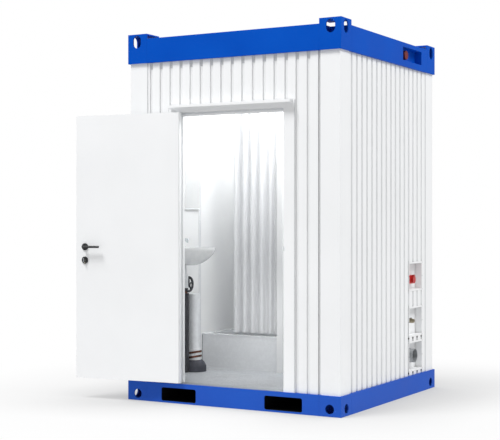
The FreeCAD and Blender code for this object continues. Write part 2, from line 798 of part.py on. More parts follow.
def make_linings():
    z = (BASE_RAIL_HEIGHT, CEILING_Z)
    rear = box((-LINING_X, LINING_X), (ROOM_Y, LINING_Y), z)
    front = rear.mirror(V(0, 0, 0), Y).cut(door_hole())
    left = box((-LINING_X, -ROOM_X), (-ROOM_Y, ROOM_Y), z)
    right = left.mirror(V(0, 0, 0), X)
    right = right.cut(rod(DRAIN, (ROOM_X, BOX_MID_Y, DRAIN_Z), X, LINING))
    right = right.cut(rod(VALVE_PIPE, (ROOM_X, VALVE_Y, VALVE_Z), X, LINING))
    node("inner_linings", [front, rear, left, right])
    node("ceiling_panel", [box((-LINING_X, LINING_X), (-LINING_Y, LINING_Y),
                               (CEILING_Z, ROOF_RAIL_Z))])


def make_door_frame():
    """Folded frame round the wall's edge: front flange, pocket, stop and rear flange."""
    sheet = FRAME_SHEET
    stop_left = POCKET_LEFT + STOP_LAP
    stop_right = POCKET_RIGHT - STOP_LAP
    stop_top = POCKET_TOP - TOP_STOP_LAP
    z = BASE_RAIL_HEIGHT

    def filled(inset):
        """The frame as one thick arch, shrunk by the inset on every side."""
        left = CORE_LEFT + inset
        right = CORE_RIGHT - inset
        front = box((left, right), (FRAME_FACE_Y + inset, STOP_Y + inset),
                    (z, CORE_TOP - inset))
        front = front.cut(box((POCKET_LEFT - inset, POCKET_RIGHT + inset),
                              (-OUT_Y, STOP_Y + inset), (z, POCKET_TOP + inset)))
        back = box((left, right), (STOP_Y + inset, REAR_FACE_Y - inset), (z, CORE_TOP - inset))
        back = back.cut(box((stop_left - inset, stop_right + inset),
                            (STOP_Y + inset, 0), (z, stop_top + inset)))
        return front.fuse(back)

    frame = filled(0.0).cut(filled(sheet))
    wall_space = (FRAME_FACE_Y + FRAME_HEM, -ROOM_Y)
    opening = box((CORE_LEFT, CORE_LEFT + sheet), wall_space, (z, CORE_TOP))
    opening = opening.fuse(box((CORE_RIGHT - sheet, CORE_RIGHT), wall_space, (z, CORE_TOP)))
    opening = opening.fuse(box((CORE_LEFT, CORE_RIGHT), wall_space,
                               (CORE_TOP - sheet, CORE_TOP)))
    frame = frame.cut(opening)
    hem = box((CORE_LEFT - FRAME_FLANGE, CORE_RIGHT + FRAME_FLANGE),
              (FRAME_FACE_Y, FRAME_FACE_Y + FRAME_HEM), (z, CORE_TOP + HEAD_FLANGE))
    hem = hem.cut(box((CORE_LEFT + sheet, CORE_RIGHT - sheet), (-OUT_Y, 0),
                      (z, CORE_TOP - sheet)))
    rear = box((CORE_LEFT - REAR_FLANGE, CORE_RIGHT + REAR_FLANGE),
               (-ROOM_Y, REAR_FACE_Y), (FLOOR_Z, CORE_TOP + REAR_FLANGE))
    rear = rear.cut(box((CORE_LEFT + sheet, CORE_RIGHT - sheet), (-OUT_Y, 0),
                        (z, CORE_TOP - sheet)))
    frame = frame.fuse([hem, rear]).removeSplitter()
    jamb = (POCKET_RIGHT - sheet, POCKET_RIGHT + sheet)
    for low, high, deep in strike_holes():
        frame = frame.cut(box(jamb, deep, (low, high)))
    plate = box((POCKET_RIGHT - STRIKE_SHEET, POCKET_RIGHT),
                (LEAF_MID_Y - FOREND_WIDE / 2, LEAF_MID_Y + FOREND_WIDE / 2),
                (CASE_Z - FOREND_TALL / 2, CASE_Z + FOREND_TALL / 2))
    for low, high, deep in strike_holes():
        plate = plate.cut(box(jamb, deep, (low, high)))
    lead = (FRAME_FACE_Y, LEAF_MID_Y)
    frame = frame.cut(box((POCKET_RIGHT, POCKET_RIGHT + LATCH_OUT), lead, latch_hole_z()))
    frame = frame.cut(box((-OUT_X, OUT_X), (-ROOM_Y, 0), (0, FLOOR_Z)))
    node("door_frame", [frame, plate])


def latch_hole_z():
    reach = LATCH_TALL / 2 + LATCH_PLAY
    return (LEVER_Z - reach, LEVER_Z + reach)


def strike_holes():
    """Holes for the latch, open to the front as its lead-in, and for the dead bolt."""
    latch = latch_hole_z()
    latch_y = LATCH_THICK / 2 + LATCH_PLAY
    bolt_z = DEAD_BOLT_TALL / 2 + LATCH_PLAY
    bolt_y = DEAD_BOLT_THICK / 2 + LATCH_PLAY
    return ((latch[0], latch[1], (FRAME_FACE_Y, LEAF_MID_Y + latch_y)),
            (CYLINDER_Z - CYLINDER_TO_BOLT - bolt_z, CYLINDER_Z - CYLINDER_TO_BOLT + bolt_z,
             (LEAF_MID_Y - bolt_y, LEAF_MID_Y + bolt_y)))


def make_threshold():
    z = (BASE_RAIL_HEIGHT, BASE_RAIL_HEIGHT + THRESHOLD)
    plate = box((POCKET_LEFT, POCKET_RIGHT), (FRAME_FACE_Y, STOP_Y), z)
    inner = box((POCKET_LEFT + STOP_LAP, POCKET_RIGHT - STOP_LAP), (STOP_Y, -ROOM_Y), z)
    node("threshold_plate", [plate.fuse(inner).removeSplitter()])


def make_drip_cap():
    """A folded rain cap on the head of the frame."""
    sheet = CAP_SHEET
    z = CORE_TOP
    top = z + CAP_TALL
    front = FRAME_FACE_Y - CAP_PROJECTS
    high = top + CAP_FALL
    section = [(FRAME_FACE_Y, z), (FRAME_FACE_Y, high), (front, top), (front, z),
               (front + sheet, z), (front + sheet, top - sheet),
               (FRAME_FACE_Y - sheet, high - sheet), (FRAME_FACE_Y - sheet, z)]
    cap = prism([(CAP_LEFT, y, h) for y, h in section], (CAP_RIGHT - CAP_LEFT, 0, 0))
    end = [(FRAME_FACE_Y, z), (FRAME_FACE_Y, high), (front, top), (front, z)]
    ends = [prism([(x, y, h) for y, h in end], (sheet, 0, 0))
            for x in (CAP_LEFT, CAP_RIGHT - sheet)]
    node("drip_cap", [cap.fuse(ends).removeSplitter()])


def make_gasket():
    """Rubber strip on the stop, up both sides and across the head."""
    out_left = POCKET_LEFT + GASKET_INSET
    out_right = POCKET_RIGHT - GASKET_INSET
    out_top = POCKET_TOP - GASKET_INSET
    y = (STOP_Y - GASKET_THICK, STOP_Y)
    z = BASE_RAIL_HEIGHT + THRESHOLD
    arch = box((out_left, out_right), y, (z, out_top))
    arch = arch.cut(box((out_left + GASKET_WIDE, out_right - GASKET_WIDE), y,
                        (z, out_top - GASKET_WIDE)))
    node("door_gasket", [arch])


def leaf_section(inset):
    """The leaf's plan, with the inner corner at the hinges taken off."""
    back = LEAF_BACK_Y - inset
    left = LEAF_LEFT + inset
    cut = LEAF_CHAMFER
    return [(left, LEAF_FACE_Y + inset), (LEAF_RIGHT - inset, LEAF_FACE_Y + inset),
            (LEAF_RIGHT - inset, back), (left + cut, back), (left, back - cut)]


def make_door_leaf():
    tall = LEAF_TOP - LEAF_BOTTOM
    leaf = prism([(x, y, LEAF_BOTTOM) for x, y in leaf_section(0.0)], (0, 0, tall))
    hollow = prism([(x, y, LEAF_BOTTOM + LEAF_SKIN) for x, y in leaf_section(LEAF_SKIN)],
                   (0, 0, tall - 2 * LEAF_SKIN))
    leaf = leaf.cut(hollow)
    half = FOREND_WIDE / 2
    leaf = leaf.cut(box((LEAF_RIGHT - FOREND_THICK, LEAF_RIGHT),
                        (LEAF_MID_Y - half, LEAF_MID_Y + half),
                        (CASE_Z - FOREND_TALL / 2, CASE_Z + FOREND_TALL / 2)))
    through = LEAF_THICK
    leaf = leaf.cut(rod(SPINDLE_HOLE, (SPINDLE_X, LEAF_FACE_Y, LEVER_Z), Y, through))
    leaf = leaf.cut(cylinder_profile(BOLT_PLAY, LEAF_FACE_Y, through))
    node("door_leaf", [swung(leaf)])


def cylinder_profile(grow, start, long):
    """Round top with a narrow foot, as a bar along Y."""
    radius = CYLINDER + grow
    foot = CYLINDER_FOOT / 2 + grow
    bar = rod(radius, (SPINDLE_X, start, CYLINDER_Z), Y, long)
    leg = box((SPINDLE_X - foot, SPINDLE_X + foot), (start, start + long),
              (CYLINDER_Z - CYLINDER_TALL - grow, CYLINDER_Z))
    return bar.fuse(leg).removeSplitter()


def make_hinges():
    """Three hinges: knuckles turn on a pin that stands on the frame half."""
    pin_clear = HINGE_PIN + RUNNING
    leaf_halves = []
    frame_halves = []
    half = HINGE_TALL / 2
    for height in HINGE_HEIGHTS:
        low = height - half
        lower = rod(HINGE_KNUCKLE, (HINGE_X, HINGE_Y, low), Z, half)
        plate = box((HINGE_X - HINGE_FRAME_PLATE, HINGE_X),
                    (FRAME_FACE_Y - HINGE_PLATE, FRAME_FACE_Y), (low, height))
        lower = lower.fuse(plate).removeSplitter()
        pin = rod(HINGE_PIN, (HINGE_X, HINGE_Y, height), Z, half - HINGE_CLEAR)
        frame_halves.append(lower.fuse(pin).removeSplitter())
        upper_z = (height + HINGE_CLEAR, height + half)
        upper = rod(HINGE_KNUCKLE, (HINGE_X, HINGE_Y, upper_z[0]), Z, half - HINGE_CLEAR)
        plate = box((HINGE_X, HINGE_X + HINGE_LEAF_PLATE),
                    (LEAF_FACE_Y - HINGE_PLATE, LEAF_FACE_Y), upper_z)
        bore = rod(pin_clear, (HINGE_X, HINGE_Y, upper_z[0]), Z, half)
        leaf_halves.append(swung(upper.fuse(plate).removeSplitter().cut(bore)))
    node("hinge_leaf_halves", leaf_halves)
    node("hinge_frame_halves", frame_halves)


def make_lock():
    """Mortice lock in the leaf's free edge: case, latch, dead bolt and furniture."""
    half = CASE_THICK / 2
    front = LEAF_RIGHT - FOREND_THICK
    x = (front - CASE_DEEP, front)
    y = (LEAF_MID_Y - half, LEAF_MID_Y + half)
    z = (CASE_Z - CASE_TALL / 2, CASE_Z + CASE_TALL / 2)
    wall = CASE_WALL
    case = box(x, y, z).cut(box((x[0] + wall, x[1]), (y[0] + wall, y[1] - wall),
                                (z[0] + wall, z[1] - wall)))
    plate = box((front, LEAF_RIGHT), (LEAF_MID_Y - FOREND_WIDE / 2, LEAF_MID_Y + FOREND_WIDE / 2),
                (CASE_Z - FOREND_TALL / 2, CASE_Z + FOREND_TALL / 2))
    case = case.fuse(plate).removeSplitter()
    latch = box((LEAF_RIGHT + LATCH_OUT - LATCH_LONG, LEAF_RIGHT + LATCH_OUT),
                (LEAF_MID_Y - LATCH_THICK / 2, LEAF_MID_Y + LATCH_THICK / 2),
                (LEVER_Z - LATCH_TALL / 2, LEVER_Z + LATCH_TALL / 2))
    ramp = [e for e in edges_along(latch, Z)
            if e.CenterOfMass.x > LEAF_RIGHT and e.CenterOfMass.y > LEAF_MID_Y]
    latch = latch.makeChamfer(LATCH_OUT - FOREND_THICK, ramp)
    bolt_z = CYLINDER_Z - CYLINDER_TO_BOLT
    bolt = box((LEAF_RIGHT - DEAD_BOLT_LONG, LEAF_RIGHT),
               (LEAF_MID_Y - DEAD_BOLT_THICK / 2, LEAF_MID_Y + DEAD_BOLT_THICK / 2),
               (bolt_z - DEAD_BOLT_TALL / 2, bolt_z + DEAD_BOLT_TALL / 2))
    for piece in (latch, bolt):
        b = piece.BoundBox
        play = BOLT_PLAY
        case = case.cut(box((front, LEAF_RIGHT), (b.YMin - play, b.YMax + play),
                            (b.ZMin - play, b.ZMax + play)))
    case = case.cut(rod(SPINDLE_HOLE, (SPINDLE_X, y[0], LEVER_Z), Y, CASE_THICK))
    case = case.cut(cylinder_profile(BOLT_PLAY, y[0], CASE_THICK))
    node("lock_case", [swung(case)])
    node("latch_bolt", [swung(latch)])
    node("dead_bolt", [swung(bolt)])
    make_door_furniture()


def lever(side, face):
    """A lever on one face of the leaf; side is -1 outside and 1 inside."""
    middle = face + side * (LEVER_STAND - LEVER_NECK)
    end = V(SPINDLE_X - LEVER_LONG + LEVER_NECK, middle, LEVER_Z)
    bar = mitred_pipe([V(SPINDLE_X, face, LEVER_Z), V(SPINDLE_X, middle, LEVER_Z), end],
                      LEVER_NECK)
    return bar.fuse(Part.makeSphere(LEVER_NECK, end)).removeSplitter()


def make_door_furniture():
    clear = LEVER_CLEAR
    inner = lever(1, LEAF_BACK_Y + clear)
    outer = lever(-1, LEAF_FACE_Y - clear)
    half = SPINDLE / 2
    reach = LEVER_STAND / 2
    spindle = box((SPINDLE_X - half, SPINDLE_X + half),
                  (LEAF_FACE_Y - clear - reach, LEAF_BACK_Y + clear + reach),
                  (LEVER_Z - half, LEVER_Z + half))
    socket = half + RUNNING
    inner = inner.cut(box((SPINDLE_X - socket, SPINDLE_X + socket),
                          (LEAF_BACK_Y, LEAF_BACK_Y + clear + reach),
                          (LEVER_Z - socket, LEVER_Z + socket)))
    node("inner_lever_handle", [swung(inner)])
    node("outer_lever_handle", [swung(outer.fuse(spindle).removeSplitter())])
    plates = []
    for start, along in ((LEAF_BACK_Y, Y), (LEAF_FACE_Y, -Y)):
        plate = rod(ROSETTE, (SPINDLE_X, start, LEVER_Z), along, ROSETTE_THICK)
        plate = edge_rounded(plate, ROSETTE_ROUND, start)
        plates.append(plate.cut(rod(LEVER_NECK + RUNNING, (SPINDLE_X, start, LEVER_Z), along,
                                    ROSETTE_THICK)))
        plate = rod(ROSETTE, (SPINDLE_X, start, CYLINDER_Z), along, ROSETTE_THICK)
        plate = edge_rounded(plate, ROSETTE_ROUND, start)
        plates.append(plate.cut(cylinder_profile(0.0, LEAF_FACE_Y - ROSETTE_THICK,
                                                 LEAF_THICK + 2 * ROSETTE_THICK)))
    node("handle_rosettes", [swung(p) for p in plates])
    start = LEAF_FACE_Y - ROSETTE_THICK
    long = LEAF_THICK + 2 * ROSETTE_THICK
    core = cylinder_profile(0.0, start, long)
    end = start + long
    core = core.cut(rod(THUMB_SHAFT + RUNNING, (SPINDLE_X, end - THUMB_DEEP, CYLINDER_Z), Y,
                        THUMB_DEEP))
    node("lock_cylinder", [swung(core)])
    shaft = rod(THUMB_SHAFT, (SPINDLE_X, end - THUMB_DEEP + HINGE_CLEAR, CYLINDER_Z), Y,
                THUMB_DEEP + THUMB_STAND / 2)
    grip = box((SPINDLE_X - THUMB_WIDE / 2, SPINDLE_X + THUMB_WIDE / 2),
               (end + HINGE_CLEAR, end + THUMB_STAND),
               (CYLINDER_Z - THUMB_TALL / 2, CYLINDER_Z + THUMB_TALL / 2))
    grip = grip.makeFillet(THUMB_ROUND, grip.Edges)
    node("thumb_turn", [swung(shaft.fuse(grip).removeSplitter())])


def edge_rounded(plate, radius, seat_y):
    """Rounds the outer rim of a disc that lies on a face at the given Y."""
    rim = [e for e in plate.Edges if e.Closed and abs(e.CenterOfMass.y - seat_y) > PAST]
    return plate.makeFillet(radius, rim)


def make_connection_boxes():
    """Sheet boxes let into the right wall, each with a flange over the cladding."""
    sheet = BOX_SHEET
    half = BOX_FRAME_WIDE / 2
    boxes = []
    for z in service_boxes():
        inner = half - BOX_FLANGE
        mid = BOX_MID_Y
        body = service_hole(z).common(box((LINING_X, FLAT_X), (-OUT_Y, OUT_Y), (0, HEIGHT)))
        flange = box((FLAT_X, FLAT_X + sheet), (mid - half, mid + half), z)
        body = body.fuse(flange)
        space = box((LINING_X + sheet, OUT_X), (mid - inner + sheet, mid + inner - sheet),
                    (z[0] + BOX_FLANGE + sheet, z[1] - BOX_FLANGE - sheet))
        body = body.cut(space)
        boxes.append(body)
    boxes[1] = boxes[1].cut(rod(VALVE_PIPE, (LINING_X, VALVE_Y, VALVE_Z), X, sheet))
    boxes[2] = boxes[2].cut(rod(DRAIN, (LINING_X, BOX_MID_Y, DRAIN_Z), X, sheet))
    node("connection_boxes", boxes)


def make_power_inlets():
    """An inlet in the wall box with pins and a lid, and a capped one in the roof rail."""
    back = LINING_X + BOX_SHEET
    front = back + INLET_DEEP
    half = INLET_WIDE / 2
    low = INLET_Z - INLET_TALL / 2
    housing = box((back, front), (BOX_MID_Y - half, BOX_MID_Y + half), (low, low + INLET_TALL))
    housing = housing.makeFillet(INLET_ROUND, edges_along(housing, X))
    centre = (front, BOX_MID_Y, INLET_Z)
    collar = rod(INLET_COLLAR, centre, X, INLET_COLLAR_LONG)
    collar = collar.cut(rod(INLET_BORE, centre, X, INLET_COLLAR_LONG))
    pins = []
    for k in range(INLET_PINS):
        turn = 2 * math.pi * k / INLET_PINS
        place = (front, BOX_MID_Y + INLET_PIN_RING * math.sin(turn),
                 INLET_Z + INLET_PIN_RING * math.cos(turn))
        pins.append(rod(INLET_PIN, place, X, INLET_COLLAR_LONG - 2 * LID_CLEAR))
    hinge_z = INLET_Z + INLET_COLLAR + LID_AXIS_OUT
    ears = rod(LID_AXIS + LID_EAR, (front + LID_AXIS_FROM, BOX_MID_Y - LID_EAR_Y, hinge_z), Y,
               2 * LID_EAR_Y)
    ears = ears.fuse(box((front, front + LID_AXIS_FROM),
                         (BOX_MID_Y - LID_EAR_Y, BOX_MID_Y + LID_EAR_Y),
                         (INLET_Z + INLET_COLLAR - LID_EAR, hinge_z + LID_AXIS)))
    gap = box((front + LID_CLEAR, front + INLET_COLLAR_LONG),
              (BOX_MID_Y - LID_ARM_Y - LID_CLEAR, BOX_MID_Y + LID_ARM_Y + LID_CLEAR),
              (INLET_Z + INLET_COLLAR, hinge_z + INLET_COLLAR_LONG))
    ears = ears.cut(gap)
    bolt = rod(LID_AXIS, (front + LID_AXIS_FROM, BOX_MID_Y - LID_EAR_Y, hinge_z), Y,
               2 * LID_EAR_Y)
    inlet = housing.fuse([collar, ears, bolt] + pins).removeSplitter()
    rear = OUT_X - ROOF_RAIL_DEEP + RECESS_FLOOR
    middle = (RECESS_Z[0] + RECESS_Z[1]) / 2
    cap = rod(ROOF_INLET, (rear, ROOF_INLET_Y, middle), X, ROOF_INLET_LONG)
    rim = [e for e in cap.Edges if e.Closed and e.CenterOfMass.x > rear + PAST]
    cap = cap.makeFillet(ROOF_INLET_ROUND, rim)
    base = rod(ROOF_INLET + LID_THICK, (rear, ROOF_INLET_Y, middle), X, LID_THICK)
    node("power_inlets", [inlet, cap.fuse(base).removeSplitter()])
    start = front + INLET_COLLAR_LONG + LID_CLEAR
    lid = rod(INLET_COLLAR + LID_LAP, (start, BOX_MID_Y, INLET_Z), X, LID_THICK)
    axis_x = front + LID_AXIS_FROM
    arm = box((axis_x, start + LID_THICK),
              (BOX_MID_Y - LID_ARM_Y, BOX_MID_Y + LID_ARM_Y),
              (hinge_z - LID_AXIS, hinge_z + LID_AXIS + LID_EAR))
    link = box((start, start + LID_THICK), (BOX_MID_Y - LID_ARM_Y, BOX_MID_Y + LID_ARM_Y),
               (INLET_Z, hinge_z))
    knuckle = rod(LID_AXIS + LID_EAR, (axis_x, BOX_MID_Y - LID_ARM_Y, hinge_z), Y,
                  2 * LID_ARM_Y)
    bore = rod(LID_AXIS + RUNNING, (axis_x, BOX_MID_Y - LID_ARM_Y, hinge_z), Y, 2 * LID_ARM_Y)
    lid = lid.fuse([arm, link, knuckle]).removeSplitter().cut(bore)
    node("wall_inlet_lid", [lid])


def make_water_valve():
    """A ball valve on the pipe that comes through the wall, its lever on top."""
    start = ROOM_X - VALVE_TAIL
    reach = FLAT_X - VALVE_BACK
    body_from = LINING_X + BOX_SHEET + VALVE_PIPE
    body_to = reach - VALVE_PIPE
    place = (body_from, VALVE_Y, VALVE_Z)
    body = rod(VALVE_PIPE - RUNNING, (start, VALVE_Y, VALVE_Z), X, reach - start)
    body = body.fuse(rod(VALVE_BODY, place, X, body_to - body_from))
    nut = rod(VALVE_NUT, (reach - VALVE_PIPE, VALVE_Y, VALVE_Z), X, VALVE_PIPE)
    mid_x = (body_from + body_to) / 2
    neck = rod(VALVE_STEM * 2, (mid_x, VALVE_Y, VALVE_Z), Z, VALVE_BODY + VALVE_STEM)
    stem = rod(VALVE_STEM, (mid_x, VALVE_Y, VALVE_Z), Z,
               VALVE_BODY + VALVE_STEM + VALVE_LEVER_THICK)
    node("water_valve", [body.fuse([nut, neck, stem]).removeSplitter()])
    low = VALVE_Z + VALVE_BODY + VALVE_STEM + LID_CLEAR
    hub = rod(VALVE_STEM * 2, (mid_x, VALVE_Y, low), Z, VALVE_LEVER_THICK)
    half = VALVE_LEVER_WIDE / 2
    arm = box((mid_x - half, mid_x + half), (VALVE_Y - VALVE_LEVER_LONG, VALVE_Y),
              (low, low + VALVE_LEVER_THICK))
    handle = hub.fuse(arm).removeSplitter()
    handle = handle.cut(rod(VALVE_STEM + RUNNING, (mid_x, VALVE_Y, low), Z, VALVE_LEVER_THICK))
    node("water_valve_lever", [handle])


def make_waste_pipes():
    """Toilet drain to the wall box, basin stack with its trap and branch."""
    wall = DRAIN_WALL
    mouth = FLAT_X - DRAIN_MOUTH_BACK
    path = [V(mouth, BOX_MID_Y, DRAIN_Z), V(DRAIN_BEND_X, BOX_MID_Y, DRAIN_Z),
            V(DRAIN_BEND_X, DRAIN_REAR_Y, DRAIN_Z), V(TOILET_X, DRAIN_REAR_Y, DRAIN_Z),
            V(TOILET_X, TOILET_OUTLET_Y, DRAIN_Z)]
    drain = mitred_pipe(path, DRAIN).cut(mitred_pipe(path, DRAIN - wall))
    stack = rod(STACK, (STACK_X, STACK_Y, FLOOR_Z), Z, STACK_TOP_Z - FLOOR_Z)
    collar_z = STACK_TOP_Z - STACK_COLLAR
    collar = rod(STACK + wall, (STACK_X, STACK_Y, collar_z), Z, STACK_COLLAR)
    foot = rod(STACK_FOOT, (STACK_X, STACK_Y, FLOOR_Z), Z, STACK_FOOT_TALL)
    stack = stack.fuse([collar, foot]).removeSplitter()
    trap = rod(TRAP, (BASIN_WASTE_X, BASIN_Y, TRAP_Z), Z, TRAP_TALL)
    up = TRAP_Z + TRAP_TALL
    low = BASIN_RIM_Z - BASIN_DEEP
    tail = rod(BRANCH, (BASIN_WASTE_X, BASIN_Y, up), Z, low - up)
    drop_y = BASIN_Y - TRAP_SIDE
    side_z = up - 2 * BRANCH
    drop = mitred_pipe([V(BASIN_WASTE_X, BASIN_Y, side_z), V(BASIN_WASTE_X, drop_y, side_z),
                        V(BASIN_WASTE_X, drop_y, FLOOR_Z)], BRANCH)
    node("waste_pipes", [drain, stack, trap.fuse([tail, drop]).removeSplitter()])


def mitred_pipe(path, radius):
    """A round bar along straight runs, with a ball at each corner."""
    bars = []
    for a, b in zip(path, path[1:]):
        run = b - a
        bars.append(Part.makeCylinder(radius, run.Length, a, run))
    balls = [Part.makeSphere(radius, p) for p in path[1:-1]]
    return bars[0].fuse(bars[1:] + balls).removeSplitter()


def make_shower():
    """Tray on feet with an apron, partition, mixer with riser pipe and head."""
    x = (-ROOM_X, TRAY_X)
    y = (TRAY_FRONT_Y - TRAY_OVERHANG, ROOM_Y)
    rim_z = (TRAY_RIM_Z - TRAY_RIM, TRAY_RIM_Z)
    low = TRAY_RIM_Z - TRAY_DEEP
    wide = TRAY_RIM_WIDE
    wall = TRAY_WALL
    rim = box(x, y, rim_z)
    tub = box((x[0] + wide - wall, x[1] - wide + wall), (y[0] + wide - wall, y[1] - wide + wall),
              (low - wall, TRAY_RIM_Z))
    tub = tub.makeFillet(wide, edges_along(tub, Z))
    hollow = box((x[0] + wide, x[1] - wide), (y[0] + wide, y[1] - wide), (low, TRAY_RIM_Z))
    hollow = hollow.makeFillet(wide - wall, edges_along(hollow, Z))
    tray = rim.fuse(tub).cut(hollow).removeSplitter()
    feet = []
    for fx in (x[0] + TRAY_FOOT_IN, x[1] - TRAY_FOOT_IN):
        for fy in (y[0] + TRAY_FOOT_IN, y[1] - TRAY_FOOT_IN):
            feet.append(rod(TRAY_FOOT, (fx, fy, FLOOR_Z), Z, low - wall - FLOOR_Z))
    node("shower_tray", [tray.fuse(feet).removeSplitter()])
    node("tray_apron", [box(x, (TRAY_FRONT_Y, TRAY_FRONT_Y + APRON), (FLOOR_Z, rim_z[0]))])
    node("shower_partition", [box((PARTITION_LEFT, PARTITION_RIGHT),
                                  (PARTITION_FRONT_Y, ROOM_Y), (FLOOR_Z, CEILING_Z))])
    wall_y = ROOM_Y
    out = wall_y - MIXER_REACH
    body = rod(MIXER, (SHOWER_X - MIXER_HALF, out, MIXER_Z), X, 2 * MIXER_HALF)
    feeds = [rod(MIXER_FEED, (SHOWER_X + s * MIXER_FEED_SIDE, out, MIXER_Z), Y, MIXER_REACH)
             for s in (-1, 1)]
    nose = rod(MIXER_CAP, (SHOWER_X, out - MIXER - MIXER_NOSE, MIXER_Z), Y, MIXER + MIXER_NOSE)
    shaft = rod(THUMB_SHAFT, (SHOWER_X, out - MIXER - MIXER_NOSE - MIXER_LEVER_THICK, MIXER_Z),
                Y, MIXER)
    riser = mitred_pipe([V(SHOWER_X, out, MIXER_Z), V(SHOWER_X, out, SHOWER_HEAD_Z + HEAD_DROP),
                         V(SHOWER_X, out - HEAD_REACH, SHOWER_HEAD_Z + HEAD_DROP),
                         V(SHOWER_X, out - HEAD_REACH, SHOWER_HEAD_Z)], RISER)
    face_z = SHOWER_HEAD_Z - HEAD_THICK
    neck_z = SHOWER_HEAD_Z + HEAD_NECK
    head = spun([(0, face_z), (SHOWER_HEAD, face_z), (SHOWER_HEAD, face_z + HEAD_EDGE),
                 (RISER, neck_z), (0, neck_z)], (SHOWER_X, out - HEAD_REACH, 0))
    clip = rod(RISER_CLIP, (SHOWER_X, out, SHOWER_HEAD_Z - HEAD_DROP), Y, MIXER_REACH)
    fittings = body.fuse(feeds + [nose, shaft, riser, head, clip]).removeSplitter()
    drain = rod(SHOWER_DRAIN, (SHOWER_X, (y[0] + y[1]) / 2, low), Z, SHOWER_DRAIN_TALL)
    node("shower_fittings", [fittings, drain])
    face = out - MIXER - MIXER_NOSE - LID_CLEAR
    knob = rod(MIXER, (SHOWER_X, face - MIXER_LEVER_THICK, MIXER_Z), Y, MIXER_LEVER_THICK)
    half = MIXER_LEVER_WIDE / 2
    grip = box((SHOWER_X - half, SHOWER_X + half), (face - MIXER_LEVER_THICK, face),
               (MIXER_Z - MIXER_LEVER_LONG, MIXER_Z))
    bore = rod(THUMB_SHAFT + RUNNING, (SHOWER_X, face - MIXER_LEVER_THICK, MIXER_Z), Y,
               MIXER_LEVER_THICK)
    node("mixer_lever", [knob.fuse(grip).removeSplitter().cut(bore)])


def fold_line(flank):
    """Middle line of the gathered cloth as arcs and short straight flanks."""
    angle = math.radians(CURTAIN_FOLD_ANGLE)
    at = V(CURTAIN_FREE_X, CURTAIN_Y - flank * math.sin(angle) / 2, 0)
    parts = []
    turn = -1
    for chord in CURTAIN_FOLDS:
        arc_chord = chord - flank * math.cos(angle)
        radius = arc_chord / (2 * math.sin(angle))
        parts.append(("arc", at, radius, turn, arc_chord))
        at = at + V(arc_chord, 0, 0)
        step = V(flank * math.cos(angle), turn * -flank * math.sin(angle), 0)
        parts.append(("line", at, step, turn, 0))
        at = at + step
        turn = -turn
    return parts[:-1]


def fold_edges(parts, shift):
    """The same line moved sideways by the shift, as edges."""
    angle = math.radians(CURTAIN_FOLD_ANGLE)
    edges = []
    for kind, at, size, turn, chord in parts:
        if kind == "line":
            normal = V(-size.y, size.x, 0)
            normal.normalize()
            edges.append(Part.makeLine(at + normal * shift, at + size + normal * shift))
            continue
        centre = at + V(chord / 2, -turn * size * math.cos(angle), 0)
        radius = size + turn * shift
        spots = [centre + V(radius * math.sin(a), turn * radius * math.cos(a), 0)
                 for a in (-angle, 0.0, angle)]
        edges.append(Part.Arc(*spots).toShape())
    return edges


def fold_wire(flank, height):
    parts = fold_line(flank)
    half = CURTAIN_THICK / 2
    near = fold_edges(parts, half)
    far = fold_edges(parts, -half)
    ends = [Part.makeLine(far[-1].Vertexes[-1].Point, near[-1].Vertexes[-1].Point),
            Part.makeLine(near[0].Vertexes[0].Point, far[0].Vertexes[0].Point)]
    wire = Part.Wire(Part.__sortEdges__(near + far + ends))
    return wire.translated(V(0, 0, height))


def make_curtain():
    """Gathered cloth with its main folds, hung from gliders in a ceiling track."""
    bottom = fold_wire(CURTAIN_FLANK_BOTTOM, CURTAIN_BOTTOM_Z)
    top = fold_wire(CURTAIN_FLANK_TOP, CURTAIN_TOP_Z)
    cloth = Part.makeLoft([bottom, top], True, True)
    node("shower_curtain", [cloth])
    low = CURTAIN_TOP_Z + TRACK_ABOVE
    half = TRACK_WIDE / 2
    track = box((-ROOM_X, PARTITION_LEFT), (CURTAIN_Y - half, CURTAIN_Y + half),
                (low, low + TRACK_TALL))
    track = track.cut(box((-ROOM_X, PARTITION_LEFT),
                          (CURTAIN_Y - half + TRACK_SHEET, CURTAIN_Y + half - TRACK_SHEET),
                          (low + TRACK_SHEET, low + TRACK_TALL - TRACK_SHEET)))
    track = track.cut(box((-ROOM_X, PARTITION_LEFT),
                          (CURTAIN_Y - TRACK_SLOT, CURTAIN_Y + TRACK_SLOT),
                          (low, low + TRACK_SHEET)))
    rods = [rod(TRACK_ROD, (x, CURTAIN_Y, low + TRACK_TALL), Z,
                 CEILING_Z - low - TRACK_TALL)
             for x in (-ROOM_X + TRACK_ROD_IN, (PARTITION_LEFT - ROOM_X) / 2,
                       PARTITION_LEFT - TRACK_ROD_IN)]
    gliders = []
    top_line = fold_line(CURTAIN_FLANK_TOP)
    for kind, at, size, turn, chord in top_line:
        if kind == "line":
            spot = at + size * 0.5
            stem = rod(GLIDER_STEM, (spot.x, spot.y, CURTAIN_TOP_Z), Z,
                       TRACK_ABOVE + TRACK_SHEET + GLIDER_CLEAR)
            head = rod(GLIDER, (spot.x, spot.y, low + TRACK_SHEET), Z, GLIDER_HEAD)
            gliders.append(stem.fuse(head).removeSplitter())
    node("curtain_track", [track] + rods + gliders)


